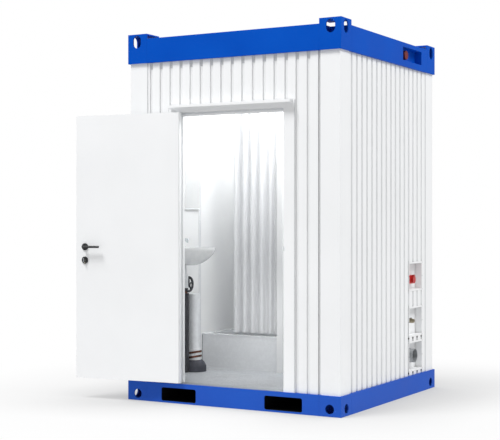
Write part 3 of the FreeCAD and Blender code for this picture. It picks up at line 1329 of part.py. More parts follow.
def half_round(reach, half, height):
    """Plan of a wall-hung basin: straight at the wall, round in front."""
    wall_x = -ROOM_X
    middle = V(wall_x, BASIN_Y, height)
    side = V(wall_x, BASIN_Y + half, height)
    front = V(wall_x + reach, BASIN_Y, height)
    long_end, short_end = (side, front) if half > reach else (front, side)
    curve = Part.Ellipse(long_end, short_end, middle)
    start = curve.parameter(V(wall_x, BASIN_Y - half, height))
    end = curve.parameter(side)
    if end < start:
        end += 2 * math.pi
    arc = Part.ArcOfEllipse(curve, start, end).toShape()
    return Part.Wire([arc, Part.makeLine(arc.Vertexes[-1].Point, arc.Vertexes[0].Point)])


def oval(centre, half_x, half_y, height):
    middle = V(centre[0], centre[1], height)
    if half_x >= half_y:
        curve = Part.Ellipse(middle + V(half_x, 0, 0), middle + V(0, half_y, 0), middle)
    else:
        curve = Part.Ellipse(middle + V(0, half_y, 0), middle + V(-half_x, 0, 0), middle)
    return Part.Wire([curve.toShape()])


def make_basin():
    """Ceramic basin with a back shelf, quarter-turn tap and bottle trap."""
    rim = BASIN_RIM_Z
    foot_z = rim - BASIN_DEEP
    belly_z = rim - BASIN_DEEP * BELLY_DOWN
    body = Part.makeLoft([half_round(BASIN_REACH * FOOT_REACH, BASIN_HALF * FOOT_WIDE, foot_z),
                          half_round(BASIN_REACH * BELLY_REACH, BASIN_HALF * BELLY_WIDE, belly_z),
                          half_round(BASIN_REACH, BASIN_HALF, rim - BASIN_LIP)], True, False)
    lip = Part.makeLoft([half_round(BASIN_REACH, BASIN_HALF, rim - BASIN_LIP),
                         half_round(BASIN_REACH, BASIN_HALF, rim)], True, True)
    half_x = (BASIN_REACH - BASIN_SHELF - BASIN_RIM) / 2
    half_y = BASIN_HALF * BOWL_WIDE
    centre = (-ROOM_X + BASIN_SHELF + half_x, BASIN_Y)
    low = (BASIN_WASTE_X, BASIN_Y)
    middle = ((centre[0] + low[0]) / 2, BASIN_Y)
    bowl = Part.makeLoft([oval(low, half_x * BOWL_FLOOR, half_y * BOWL_FLOOR,
                               foot_z + BASIN_FLOOR),
                          oval(middle, half_x * BOWL_BELLY, half_y * BOWL_BELLY, belly_z),
                          oval(centre, half_x, half_y, rim + PAST)], True, False)
    basin = body.fuse(lip).removeSplitter().cut(bowl)
    waste = rod(BRANCH, (BASIN_WASTE_X, BASIN_Y, foot_z - PAST), Z, BASIN_DEEP)
    node("wash_basin", [basin.cut(waste)])


def make_basin_tap():
    at = (TAP_X, BASIN_Y, BASIN_RIM_Z)
    base = rod(TAP_BASE, at, Z, TAP_FOOT)
    column = rod(TAP_RADIUS, at, Z, TAP_TALL)
    spout = mitred_pipe([V(TAP_X, BASIN_Y, BASIN_RIM_Z + TAP_SPOUT_Z),
                         V(TAP_X + TAP_REACH, BASIN_Y, BASIN_RIM_Z + TAP_SPOUT_Z),
                         V(TAP_X + TAP_REACH, BASIN_Y, BASIN_RIM_Z + TAP_NOSE_Z)], TAP_SPOUT)
    stem = rod(THUMB_SHAFT, at, Z, TAP_TALL + TAP_LEVER_THICK)
    node("basin_tap", [base.fuse([column, spout, stem]).removeSplitter()])
    low = BASIN_RIM_Z + TAP_TALL + LID_CLEAR
    hub = rod(TAP_RADIUS, (TAP_X, BASIN_Y, low), Z, TAP_LEVER_THICK)
    grip = box((TAP_X, TAP_X + TAP_LEVER_LONG), (BASIN_Y - TAP_SPOUT / 2, BASIN_Y + TAP_SPOUT / 2),
               (low, low + TAP_LEVER_THICK))
    bore = rod(THUMB_SHAFT + RUNNING, (TAP_X, BASIN_Y, low), Z, TAP_LEVER_THICK)
    node("tap_lever", [hub.fuse(grip).removeSplitter().cut(bore)])


def make_pipes_at_wall():
    """Sleeved water riser with its stop valve, hand wheel, and the boot round the stack."""
    at = (SLEEVE_X, SLEEVE_Y)
    sleeve = pipe(SLEEVE, SLEEVE - COPPER, (at[0], at[1], FLOOR_Z), Z, SLEEVE_TOP_Z - FLOOR_Z)
    node("riser_sleeve", [sleeve])
    top = BASIN_RIM_Z - BASIN_DEEP
    copper = rod(COPPER, (at[0], at[1], FLOOR_Z), Z, WHEEL_Z + 2 * COPPER - FLOOR_Z)
    union = rod(UNION, (at[0], at[1], SLEEVE_TOP_Z + UNION_ABOVE), Z, UNION_TALL)
    body = rod(VALVE_BODY, (at[0], at[1], WHEEL_Z - VALVE_BODY), Z, 2 * VALVE_BODY)
    hub_from = WHEEL_X - WHEEL_HUB / 2
    bonnet = rod(COPPER, (at[0], at[1], WHEEL_Z), X, hub_from - LID_CLEAR - at[0])
    shaft = rod(VALVE_STEM, (at[0], at[1], WHEEL_Z), X, hub_from + WHEEL_HUB - at[0])
    run_z = WHEEL_Z + 2 * COPPER
    over = mitred_pipe([V(at[0], at[1], run_z), V(at[0], at[1], run_z + COPPER),
                        V(at[0], BASIN_Y + SUPPLY_SIDE, run_z + COPPER),
                        V(at[0], BASIN_Y + SUPPLY_SIDE, top)], SUPPLY)
    clip = rod(SUPPLY, (-ROOM_X, at[1], WHEEL_Z), X, at[0] + ROOM_X)
    riser = copper.fuse([union, body, bonnet, shaft, over, clip]).removeSplitter()
    hole = rod(STACK_FOOT, (STACK_X, STACK_Y, FLOOR_Z), Z, RING_Z)
    bands = []
    for height in (RING_Z, RING_Z - RING_STEP):
        middle = V(STACK_X, STACK_Y, height)
        band = rod(STACK_FOOT + RING_WALL, middle - Z * (RING_TALL / 2), Z, RING_TALL)
        band.rotate(middle, Y, -RING_TILT)
        bands.append(band.cut(hole))
    node("water_pipes", [riser] + bands)
    rim = Part.makeTorus(WHEEL - WHEEL_RIM, WHEEL_RIM, V(WHEEL_X, at[1], WHEEL_Z), X)
    hub = rod(COPPER, (hub_from, at[1], WHEEL_Z), X, WHEEL_HUB)
    spokes = []
    for k in range(WHEEL_SPOKES):
        turn = 2 * math.pi * k / WHEEL_SPOKES
        along = V(0, math.sin(turn), math.cos(turn))
        spokes.append(rod(WHEEL_SPOKE, (WHEEL_X, at[1], WHEEL_Z), along, WHEEL - WHEEL_RIM))
    wheel = rim.fuse([hub] + spokes).removeSplitter()
    wheel = wheel.cut(rod(VALVE_STEM + RUNNING, (hub_from, at[1], WHEEL_Z), X, WHEEL_HUB))
    node("valve_handwheel", [wheel])
    low = FLOOR_Z
    section = [(STACK_FOOT, low), (BOOT, low), (BOOT, low + BOOT_FOOT),
               (BOOT_WAIST, low + BOOT_WAIST_Z), (STACK_FOOT + BOOT_WALL, low + BOOT_TALL),
               (STACK_FOOT, low + BOOT_TALL)]
    boot = spun(section, (STACK_X, STACK_Y, 0))
    notch = rod(SLEEVE + LID_CLEAR, (at[0], at[1], low), Z, BOOT_TALL)
    wall = box((-OUT_X, -ROOM_X), (STACK_Y - BOOT, STACK_Y + BOOT), (low, low + BOOT_TALL))
    node("floor_boot", [boot.cut(notch).cut(wall)])


def toilet_section(sizes, wall=0.0):
    """Oval of the toilet from its shares of the width, length and height."""
    wide, long, up = sizes
    half_y = TOILET_LONG / 2
    back = TOILET_FOOT_BACK if up < TOILET_LEAN else 0
    centre = (TOILET_X, TOILET_FRONT_Y + half_y + back)
    return oval(centre, TOILET_WIDE / 2 * wide - wall, half_y * long - wall,
                FLOOR_Z + TOILET_RIM * up)


def make_toilet():
    """Floor-standing bowl with a cistern on its rear deck, and the hinge rod of its seat."""
    rim_z = FLOOR_Z + TOILET_RIM
    half_x = TOILET_WIDE / 2
    half_y = TOILET_LONG / 2
    centre = (TOILET_X, TOILET_FRONT_Y + half_y)
    bowl = Part.makeLoft([toilet_section(s) for s in TOILET_SHAPE], True, False)
    deck = box((TOILET_X - half_x, TOILET_X + half_x),
               (centre[1] + half_y - TOILET_DECK_LAP, ROOM_Y - CISTERN_GAP),
               (rim_z - TOILET_DECK, rim_z))
    deck = deck.makeFillet(TOILET_DECK_ROUND, edges_along(deck, Z))
    outlet_from = centre[1] + TOILET_FOOT_BACK
    spigot = rod(DRAIN, (TOILET_X, outlet_from, DRAIN_Z), Y, TOILET_OUTLET_Y - outlet_from)
    wall = TOILET_WALL
    mouth = oval(centre, half_x - TOILET_RIM_WALL, half_y - TOILET_RIM_WALL, rim_z + PAST)
    space = Part.makeLoft([toilet_section(TOILET_THROAT),
                           toilet_section(TOILET_SHAPE[2], wall), mouth], True, False)
    toilet = bowl.fuse([deck, spigot]).removeSplitter().cut(space)
    seat_z = rim_z + SEAT_CLEAR
    axis_z = seat_z + SEAT_THICK / 2
    lug_x = HINGE_SPREAD + HINGE_ARM + SEAT_CLEAR
    hinge = rod(HINGE_ROD, (TOILET_X - lug_x - LUG, SEAT_HINGE_Y, axis_z), X, 2 * (lug_x + LUG))
    lug = box((TOILET_X + lug_x, TOILET_X + lug_x + LUG),
              (SEAT_HINGE_Y - SEAT_THICK / 2, SEAT_HINGE_Y + SEAT_THICK / 2),
              (rim_z, axis_z + 2 * HINGE_ROD))
    hinge = hinge.fuse([lug, lug.mirror(V(TOILET_X, 0, 0), X)]).removeSplitter()
    node("toilet_bowl", [toilet, hinge])
    make_seat_and_lid(centre, seat_z, axis_z)
    make_cistern(rim_z)


def hinge_arms(x, z, back_y, axis_z):
    """Two arms with round hubs that turn on the hinge rod."""
    pieces = []
    for s in (-1, 1):
        middle = TOILET_X + s * x
        pieces.append(box((middle - HINGE_ARM, middle + HINGE_ARM), (back_y, SEAT_HINGE_Y), z))
        pieces.append(rod(SEAT_THICK / 2, (middle - HINGE_ARM, SEAT_HINGE_Y, axis_z), X,
                          2 * HINGE_ARM))
    return pieces


def make_seat_and_lid(centre, seat_z, axis_z):
    half_x = TOILET_WIDE / 2
    half_y = TOILET_LONG / 2
    back_y = centre[1] + half_y - SEAT_WIDE
    outer = oval(centre, half_x, half_y, seat_z)
    inner = oval(centre, half_x - SEAT_WIDE, half_y - SEAT_WIDE, seat_z)
    seat = Part.Face([outer, inner]).extrude(V(0, 0, SEAT_THICK))
    arms = hinge_arms(HINGE_SPREAD, (seat_z, seat_z + SEAT_THICK), back_y, axis_z)
    bore = rod(HINGE_ROD + RUNNING, (TOILET_X - half_x, SEAT_HINGE_Y, axis_z), X, TOILET_WIDE)
    node("toilet_seat", [seat.fuse(arms).removeSplitter().cut(bore)])
    lid_z = seat_z + SEAT_THICK + SEAT_CLEAR
    lid = Part.Face(oval(centre, half_x, half_y, lid_z)).extrude(V(0, 0, TOILET_LID))
    arm_x = HINGE_SPREAD - 2 * HINGE_ARM - SEAT_CLEAR
    arms = hinge_arms(arm_x, (lid_z, lid_z + TOILET_LID), back_y, axis_z)
    webs = [box((TOILET_X + s * arm_x - HINGE_ARM, TOILET_X + s * arm_x + HINGE_ARM),
                (SEAT_HINGE_Y - SEAT_THICK / 2, SEAT_HINGE_Y), (axis_z, lid_z + TOILET_LID))
            for s in (-1, 1)]
    lid = lid.fuse(arms + webs).removeSplitter().cut(bore)
    lid.rotate(V(TOILET_X, SEAT_HINGE_Y, axis_z), X, -LID_OPEN)
    node("toilet_lid", [lid])


def make_cistern(rim_z):
    """Hollow cistern against the rear wall, and the button in its top."""
    wall = TOILET_WALL
    half = CISTERN_WIDE / 2
    cistern = box((TOILET_X - half, TOILET_X + half), (ROOM_Y - CISTERN_DEEP, ROOM_Y),
                  (rim_z, rim_z + CISTERN_TALL))
    front = [e for e in edges_along(cistern, Z)
             if e.CenterOfMass.y < ROOM_Y - CISTERN_DEEP / 2]
    cistern = cistern.makeFillet(CISTERN_ROUND, front)
    top = rim_z + CISTERN_TALL
    mid_y = ROOM_Y - CISTERN_DEEP / 2
    hollow = box((TOILET_X - half + wall, TOILET_X + half - wall),
                 (ROOM_Y - CISTERN_DEEP + wall, ROOM_Y - wall), (rim_z + wall, top - wall))
    well = rod(BUTTON + BUTTON_PLAY, (TOILET_X, mid_y, top - wall), Z, wall)
    node("cistern", [cistern.cut(hollow).cut(well)])
    node("flush_button", [rod(BUTTON, (TOILET_X, mid_y, top - wall), Z, wall + BUTTON_UP)])


def make_small_fittings():
    mirror = box((-ROOM_X, -ROOM_X + MIRROR_THICK), MIRROR_Y, MIRROR_Z)
    node("mirror", [mirror])
    x = PARTITION_RIGHT
    reach = PAPER_ROLL + PAPER_GAP
    half = PAPER_WIDE / 2
    side = (PAPER_Y + half + PAPER_SIDE, PAPER_Y + half + PAPER_SIDE + PAPER_ARM)
    plate = box((x, x + PAPER_PLATE), (PAPER_Y - half, side[1]),
                (PAPER_Z - PAPER_PLATE_HALF, PAPER_Z + PAPER_PLATE_HALF))
    arm = box((x, x + reach + PAPER_ARM), side,
              (PAPER_Z - PAPER_ARM_HALF, PAPER_Z + PAPER_ARM_HALF))
    bar = rod(PAPER_CORE - RUNNING, (x + reach, PAPER_Y - half, PAPER_Z), Y,
              PAPER_WIDE + PAPER_SIDE)
    bar = bar.cut(rod(PAPER_BAR_BORE, (x + reach, PAPER_Y - half, PAPER_Z), Y, PAPER_WIDE))
    node("paper_holder", [plate.fuse([arm, bar]).removeSplitter()])
    roll = rod(PAPER_ROLL, (x + reach, PAPER_Y - half, PAPER_Z), Y, PAPER_WIDE)
    roll = roll.cut(rod(PAPER_CORE, (x + reach, PAPER_Y - half, PAPER_Z), Y, PAPER_WIDE))
    node("paper_roll", [roll])
    low = CEILING_Z - LIGHT_TALL
    light = spun([(0, low), (LIGHT_FACE, low), (LIGHT, low + LIGHT_BEND),
                  (LIGHT, CEILING_Z), (0, CEILING_Z)], (LIGHT_X, LIGHT_Y, 0))
    node("ceiling_light", [light])


make_base_rails()
make_bottom_corner_blocks()
make_fork_pocket_tubes()
make_floor()
make_corner_posts()
make_cladding()
make_insulation()
make_linings()
make_roof_rails()
make_top_corner_blocks()
make_roof_sheet()
make_door_frame()
make_threshold()
make_drip_cap()
make_gasket()
make_door_leaf()
make_hinges()
make_lock()
make_connection_boxes()
make_power_inlets()
make_water_valve()
make_shower()
make_curtain()
make_basin()
make_basin_tap()
make_waste_pipes()
make_pipes_at_wall()
make_toilet()
make_small_fittings()
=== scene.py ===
# %% [markdown]
# A transportable sanitary cabin: a small steel container with a toilet, a wash
# basin and a shower behind one door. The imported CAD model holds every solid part
# in its true place, so it is loaded first and nothing in it is moved. This file
# gives the parts their finishes, rounds the edges that the shop rounds, hangs the
# cloth curtain, and adds the seams, screws and seals that are too small for the CAD.

import json
import math

import bmesh
import bpy
from mathutils import Matrix, Vector, noise

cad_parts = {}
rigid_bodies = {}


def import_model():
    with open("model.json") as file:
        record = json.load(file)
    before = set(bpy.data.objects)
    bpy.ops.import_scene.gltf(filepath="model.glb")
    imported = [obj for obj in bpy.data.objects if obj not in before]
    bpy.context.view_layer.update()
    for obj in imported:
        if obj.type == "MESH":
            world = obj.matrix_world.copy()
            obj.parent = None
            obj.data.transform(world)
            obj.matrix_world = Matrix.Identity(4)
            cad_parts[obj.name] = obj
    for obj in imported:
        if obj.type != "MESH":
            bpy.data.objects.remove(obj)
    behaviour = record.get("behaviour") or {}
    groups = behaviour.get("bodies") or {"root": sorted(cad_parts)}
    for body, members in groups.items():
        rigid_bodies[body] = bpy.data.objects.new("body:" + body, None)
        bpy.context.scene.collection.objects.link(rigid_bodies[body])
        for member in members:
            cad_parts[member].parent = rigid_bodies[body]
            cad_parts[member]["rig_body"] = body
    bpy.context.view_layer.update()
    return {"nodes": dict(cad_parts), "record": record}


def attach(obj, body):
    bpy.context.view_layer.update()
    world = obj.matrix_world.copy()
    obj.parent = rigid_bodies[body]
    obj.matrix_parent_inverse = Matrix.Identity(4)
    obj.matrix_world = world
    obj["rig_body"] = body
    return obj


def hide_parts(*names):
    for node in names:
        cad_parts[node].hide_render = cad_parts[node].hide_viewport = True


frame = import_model()
NODES = frame["nodes"]


# %% [markdown]
# Small helpers. Sizes in this file are written in millimetres and turned to
# metres once, because the drawings of such cabins are in millimetres. Colours are
# written as on a paint card, in sRGB, and turned to the linear values that light
# is computed with.

# %% Units, colours and nodes
MM = 0.001


def paint(card):
    """Linear red, green, blue and 1 for a colour written as six hex digits."""
    out = []
    for i in (0, 2, 4):
        v = int(card[i:i + 2], 16) / 255
        out.append(v / 12.92 if v <= 0.04045 else ((v + 0.055) / 1.055) ** 2.4)
    return (*out, 1)


def add(tree, kind, options=None, **sockets):
    """A shader node with its sockets set to constants or joined to other sockets."""
    n = tree.nodes.new("ShaderNode" + kind)
    for k, v in (options or {}).items():
        setattr(n, k, v)
    for k, v in sockets.items():
        s = n.inputs[k.replace("_", " ")]
        if isinstance(v, bpy.types.NodeSocket):
            tree.links.new(v, s)
        else:
            s.default_value = v
    return n


def blend(tree, share, first, second):
    """Colour between first and second; share may be a number or a socket."""
    n = tree.nodes.new("ShaderNodeMix")
    n.data_type = "RGBA"
    for index, v in ((0, share), (6, first), (7, second)):
        if isinstance(v, bpy.types.NodeSocket):
            tree.links.new(v, n.inputs[index])
        else:
            n.inputs[index].default_value = v
    return n.outputs[2]


def spread(tree, value, low, high, to_low, to_high):
    """Takes low…high to to_low…to_high and stops at both ends."""
    n = add(tree, "MapRange", Value=value, From_Min=low, From_Max=high, To_Min=to_low, To_Max=to_high)
    return n.outputs["Result"]


def place(tree, stretch=(1, 1, 1)):
    """Object coordinates, in metres, stretched along some axes."""
    where = tree.nodes.new("ShaderNodeTexCoord").outputs["Object"]
    return add(tree, "Mapping", Vector=where, Scale=stretch).outputs["Vector"]


def cloud(tree, size_mm, where, detail=3.0, rough=0.5):
    """Soft noise whose blobs are about size_mm across."""
    n = add(tree, "TexNoise", Vector=where, Scale=1 / (size_mm * MM), Detail=detail, Roughness=rough)
    return n.outputs["Fac"]


def bands(tree, axis, period_mm, where):
    """Sine bands across an axis, one every period_mm."""
    n = add(tree, "TexWave", {"bands_direction": axis}, Vector=where,
            Scale=math.pi / 10 / (period_mm * MM), Distortion=0.3, Detail=1)
    return n.outputs["Fac"]


def fresh(name):
    """An empty material: its tree, its main shader, and the material."""
    mat = bpy.data.materials.new(name)
    mat.use_nodes = True
    tree = mat.node_tree
    return mat, tree, tree.nodes["Principled BSDF"]


def set_shader(tree, shader, **sockets):
    for k, v in sockets.items():
        s = shader.inputs[k.replace("_", " ")]
        if isinstance(v, bpy.types.NodeSocket):
            tree.links.new(v, s)
        else:
            s.default_value = v


def relief(tree, shader, height, depth_mm, soft_edge_mm=0.0):
    """Bump of a real depth, over an edge rounding of a real radius."""
    bump = add(tree, "Bump", Height=height, Distance=depth_mm * MM, Strength=1.0)
    if soft_edge_mm:
        soft = add(tree, "Bevel", {"samples": 4}, Radius=soft_edge_mm * MM)
        tree.links.new(soft.outputs["Normal"], bump.inputs["Normal"])
    tree.links.new(bump.outputs["Normal"], shader.inputs["Normal"])


# %% [markdown]
# Painted steel. The rails are shot-blasted and sprayed with blue enamel, which
# dries with a fine orange peel; near the ground the enamel is painted paler, as a
# painted reflection of the white floor. Walls are coil-coated in the mill: the
# coating is rolled on, so it is flatter, with only a faint grain along the sheet.
# Painted shade darkens the bottoms of its grooves, and dirt splashes up its foot.
# The door and its frame are powder-coated in an oven, which leaves a fine, even pebble.

# %% Paints
SPRAYED_EDGE = 1.2


def sprayed(name, base, lighter, peel_mm, depth_mm, rough):
    """Wet or powder paint: slow colour drift, dust-fine speckle, orange peel."""
    mat, tree, shader = fresh(name)
    where = place(tree)
    drift = cloud(tree, 420, where, 2)
    speckle = cloud(tree, 6, where, 2)
    tone = blend(tree, spread(tree, drift, 0.35, 0.65, 0, 1), paint(base), paint(lighter))
    dust_and_floor_reflection = spread(tree, speckle, 0.62, 0.72, 0, 0.05)
    tone = blend(tree, dust_and_floor_reflection, tone, paint("C9CCD0"))
    peel = cloud(tree, peel_mm, where, 1)
    shine = spread(tree, drift, 0.3, 0.7, rough - 0.05, rough + 0.06)
    set_shader(tree, shader, Base_Color=tone, Roughness=shine)
    relief(tree, shader, peel, depth_mm, SPRAYED_EDGE)
    return mat, tree, shader


def blue_enamel():
    mat, tree, shader = sprayed("sprayed_blue_enamel", "004DBA", "0052C0", 1.6, 0.02, 0.42)
    # Painted reflection: below about 0.6 m the blue is blended paler towards the ground, standing in for
    # light reflected up from the white floor.
    height = add(tree, "SeparateXYZ", Vector=place(tree)).outputs["Z"]
    dust_and_floor_reflection = spread(tree, height, 0.149, 0.6, 0.035, 0)
    tone = blend(tree, dust_and_floor_reflection, shader.inputs["Base Color"].links[0].from_socket, paint("C9CCD0"))
    set_shader(tree, shader, Base_Color=tone, Specular_IOR_Level=0.06)
    return mat


def coil_white():
    mat, tree, shader = fresh("coil_coated_white_sheet")
    along = place(tree, (1, 1, 0.04))
    drift = cloud(tree, 600, place(tree), 2)
    grain = cloud(tree, 1.2, along, 2)
    tone = blend(tree, spread(tree, drift, 0.35, 0.65, 0, 1), paint("F5F6F7"), paint("F2F3F4"))
    low = add(tree, "SeparateXYZ", Vector=place(tree)).outputs["Z"]
    splash = add(tree, "Math", {"operation": "MULTIPLY"})
    tree.links.new(spread(tree, low, 0.15, 0.45, 1, 0), splash.inputs[0])
    tree.links.new(spread(tree, cloud(tree, 55, place(tree), 5, 0.7), 0.5, 0.75, 0, 0.10), splash.inputs[1])
    tone = blend(tree, splash.outputs[0], tone, paint("C8C4BC"))
    # Painted shade: where ambient occlusion finds groove bottoms and inside corners, the white is darkened
    # to grey.
    corner = add(tree, "AmbientOcclusion", {"samples": 6}, Distance=22 * MM).outputs["AO"]
    tone = blend(tree, spread(tree, corner, 0.45, 0.9, 0.42, 0), tone, paint("A9AAA8"))
    set_shader(tree, shader, Base_Color=tone, Roughness=spread(tree, grain, 0.3, 0.7, 0.42, 0.52),
               Specular_IOR_Level=0.4)
    relief(tree, shader, grain, 0.01, 0.8)
    return mat


def powder_white():
    return sprayed("powder_coated_white", "F4F5F6", "F6F7F8", 0.9, 0.025, 0.5)[0]


# Near-black paint; on the fork pocket tubes its darkness is partly painted shade, standing in for the shadow
# inside the pockets.
def black_paint():
    mat, tree, shader = sprayed("black_paint_and_pocket_shade", "0B0C0D", "141517", 1.2, 0.03, 0.7)
    set_shader(tree, shader, Specular_IOR_Level=0.1)
    return mat


def zinc():
    mat, tree, shader = fresh("hot_dip_zinc")
    where = place(tree)
    flowers = add(tree, "TexVoronoi", Vector=where, Scale=1 / (9 * MM))
    patch = spread(tree, flowers.outputs["Color"], 0, 1, 0, 1)
    tone = blend(tree, patch, paint("A9AEB2"), paint("C6CACD"))
    set_shader(tree, shader, Base_Color=tone, Metallic=1.0, Roughness=spread(tree, patch, 0, 1, 0.34, 0.55))
    relief(tree, shader, cloud(tree, 14, where, 2), 0.02)
    return mat


PAINTS = {
    "blue_frame_paint": blue_enamel(),
    "white_wall_coating": coil_white(),
    "white_door_paint": powder_white(),
    "black_paint": black_paint(),
    "zinc_coating": zinc(),
}
print("paints:", sorted(PAINTS))


# %% [markdown]
# Boards, sheets and soft fillings. The floor board is phenolic-faced birch
# plywood, whose plies show at every cut edge. The covering is welded vinyl with
# grey and pale chips pressed into it and a grid of low studs against slipping. The
# walls inside are white laminated board, almost plain, with the slight waviness of
# a pressed sheet and some damp staining low down. The filling between the skins is
# mineral wool.

# %% Boards and fillings
def plywood():
    mat, tree, shader = fresh("phenolic_birch_plywood")
    where = place(tree, (1, 0.08, 1))
    grain = cloud(tree, 9, where, 5, 0.65)
    plies = bands(tree, "Z", 2.8, place(tree))
    tone = blend(tree, spread(tree, grain, 0.3, 0.7, 0, 1), paint("6A4A30"), paint("8E6A48"))
    tone = blend(tree, spread(tree, plies, 0.2, 0.8, 0, 0.35), tone, paint("3C2A1D"))
    set_shader(tree, shader, Base_Color=tone, Roughness=0.55)
    relief(tree, shader, grain, 0.08)
    return mat


def vinyl():
    mat, tree, shader = fresh("chipped_grey_vinyl_floor")
    where = place(tree)
    chips = add(tree, "TexVoronoi", Vector=where, Scale=1 / (3.2 * MM), Randomness=1.0)
    pick = add(tree, "SeparateXYZ", Vector=chips.outputs["Color"]).outputs["X"]
    tone = blend(tree, spread(tree, pick, 0.70, 0.74, 0, 1), paint("C3C6CA"), paint("DDE0E3"))
    tone = blend(tree, spread(tree, pick, 0.22, 0.18, 0, 1), tone, paint("8F949A"))
    walked = cloud(tree, 240, where, 4, 0.6)
    tone = blend(tree, spread(tree, walked, 0.5, 0.72, 0, 0.18), tone, paint("9B978F"))
    studs = add(tree, "TexVoronoi", {"feature": "SMOOTH_F1"}, Vector=where, Scale=1 / (11 * MM),
                Randomness=0.0)
    raised = spread(tree, studs.outputs["Distance"], 0.28, 0.34, 1, 0)
    set_shader(tree, shader, Base_Color=tone, Roughness=spread(tree, walked, 0.3, 0.7, 0.38, 0.55))
    relief(tree, shader, raised, 0.35)
    return mat


def laminate():
    mat, tree, shader = fresh("white_laminated_board")
    where = place(tree)
    wave = cloud(tree, 300, where, 2)
    skin = cloud(tree, 0.8, where, 1)
    tone = blend(tree, spread(tree, wave, 0.35, 0.65, 0, 1), paint("F6F7F7"), paint("F2F3F4"))
    damp = cloud(tree, 90, place(tree, (1, 1, 0.4)), 5, 0.7)
    low = add(tree, "SeparateXYZ", Vector=where).outputs["Z"]
    near_floor = add(tree, "Math", {"operation": "MULTIPLY"})
    tree.links.new(spread(tree, low, 0.16, 0.5, 0.22, 0), near_floor.inputs[0])
    tree.links.new(spread(tree, damp, 0.45, 0.7, 0, 1), near_floor.inputs[1])
    tone = blend(tree, near_floor.outputs[0], tone, paint("C9C8C3"))
    set_shader(tree, shader, Base_Color=tone, Roughness=0.34, Coat_Weight=0.15, Coat_Roughness=0.25)
    height = add(tree, "Math", {"operation": "MULTIPLY_ADD"})
    tree.links.new(wave, height.inputs[0])
    height.inputs[1].default_value = 12
    tree.links.new(skin, height.inputs[2])
    relief(tree, shader, height.outputs[0], 0.012)
    return mat


def wool():
    mat, tree, shader = fresh("mineral_wool_batt")
    where = place(tree, (1, 1, 5))
    strands = cloud(tree, 5, where, 8, 0.75)
    tone = blend(tree, spread(tree, strands, 0.3, 0.7, 0, 1), paint("8D8458"), paint("C8BE86"))
    set_shader(tree, shader, Base_Color=tone, Roughness=0.95, Sheen_Weight=0.4)
    relief(tree, shader, strands, 1.2)
    return mat


def rubber(name, base, bloomed):
    mat, tree, shader = fresh(name)
    where = place(tree)
    bloom = cloud(tree, 60, where, 5, 0.7)
    tone = blend(tree, spread(tree, bloom, 0.45, 0.75, 0, 0.5), paint(base), paint(bloomed))
    set_shader(tree, shader, Base_Color=tone, Roughness=spread(tree, bloom, 0.3, 0.7, 0.55, 0.75),
               Specular_IOR_Level=0.35)
    relief(tree, shader, cloud(tree, 0.7, where, 3), 0.06, 0.6)
    return mat


BOARDS = {
    "floor_board": plywood(),
    "floor_sheet": vinyl(),
    "white_lining": laminate(),
    "mineral_wool": wool(),
    "seal_rubber": rubber("extruded_black_rubber", "1D1E20", "3C3E41"),
    "pale_rubber": rubber("extruded_grey_rubber", "D9DBDE", "C9CCCF"),
}
print("boards and fillings:", sorted(BOARDS))


# %% [markdown]
# Metals. Lock parts and hinges are stainless steel, ground along one direction,
# so the light draws fine threads on them. Taps are brass under bright chrome,
# with a few dried water marks. The lock cylinder is nickelled brass, the water
# valve is bare brass gone dull, and the water pipes are drawn copper that has
# browned. The curtain rail is anodised aluminium with long extrusion lines. The
# mirror is hazed by dried spray, so part of it scatters light as white.

# %% Metals
def ground_metal(name, base, worn, rough, streak=(1, 1, 0.03), depth_mm=0.01, spots=0.0, spot_card="6E6A62"):
    """Bare or plated metal with a grain along one axis and slow staining."""
    mat, tree, shader = fresh(name)
    grain = cloud(tree, 0.9, place(tree, streak), 3, 0.6)
    stain = cloud(tree, 22, place(tree), 5, 0.65)
    tone = blend(tree, spread(tree, stain, 0.35, 0.7, 0, 1), paint(base), paint(worn))
    if spots:
        tone = blend(tree, spread(tree, stain, 0.62, 0.70, 0, spots), tone, paint(spot_card))
    set_shader(tree, shader, Base_Color=tone, Metallic=1.0,
               Roughness=spread(tree, grain, 0.3, 0.7, rough, rough + 0.12))
    relief(tree, shader, grain, depth_mm, 0.4)
    return mat


def chrome():
    mat, tree, shader = fresh("bright_chrome_plate")
    marks = cloud(tree, 7, place(tree), 4, 0.7)
    tone = blend(tree, spread(tree, marks, 0.55, 0.7, 0, 0.25), paint("D3D7DA"), paint("A4AAAE"))
    shine = spread(tree, marks, 0.4, 0.75, 0.05, 0.16)
    set_shader(tree, shader, Base_Color=tone, Metallic=1.0, Roughness=shine)
    relief(tree, shader, cloud(tree, 30, place(tree), 1), 0.02, 0.4)
    return mat


def mirror_silver():
    mat, tree, shader = fresh("silvered_float_glass")
    haze = cloud(tree, 120, place(tree), 4, 0.6)
    tone = blend(tree, spread(tree, haze, 0.4, 0.7, 0, 1), paint("FAFBFB"), paint("F5F6F6"))
    shine = spread(tree, haze, 0.45, 0.75, 0.02, 0.08)
    set_shader(tree, shader, Base_Color=tone, Metallic=0.6, Roughness=shine)
    return mat


METALS = {
    "satin_steel": ground_metal("ground_stainless_steel", "B9BCBF", "A3A7AA", 0.24),
    "nickel_brass": ground_metal("nickelled_brass", "C9C4B4", "A9A393", 0.18, spots=0.3),
    "bright_brass": ground_metal("weathered_brass", "A89F86", "857D69", 0.34, (0.05, 1, 1), 0.01,
                                 0.35, "4A4436"),
    "copper": ground_metal("browned_copper_pipe", "7E5A4C", "573C32", 0.42, (1, 1, 0.05), 0.01,
                           0.5, "4A2E22"),
    "track_aluminium": ground_metal("anodised_aluminium", "CDD0D3", "BCC0C3", 0.3, (0.03, 1, 1)),
    "chrome": chrome(),
    "mirror_glass": mirror_silver(),
}
print("metals:", sorted(METALS))


# %% [markdown]
# Plastics, glaze, cloth and paper. Moulded parts carry the grain that is etched
# into the mould. Sanitary ware is vitreous china: a white body under a thick clear
# glaze that pools a little, so reflections swim. The curtain is polyester woven
# plainly, about 12 threads a centimetre, and a little light passes through it.

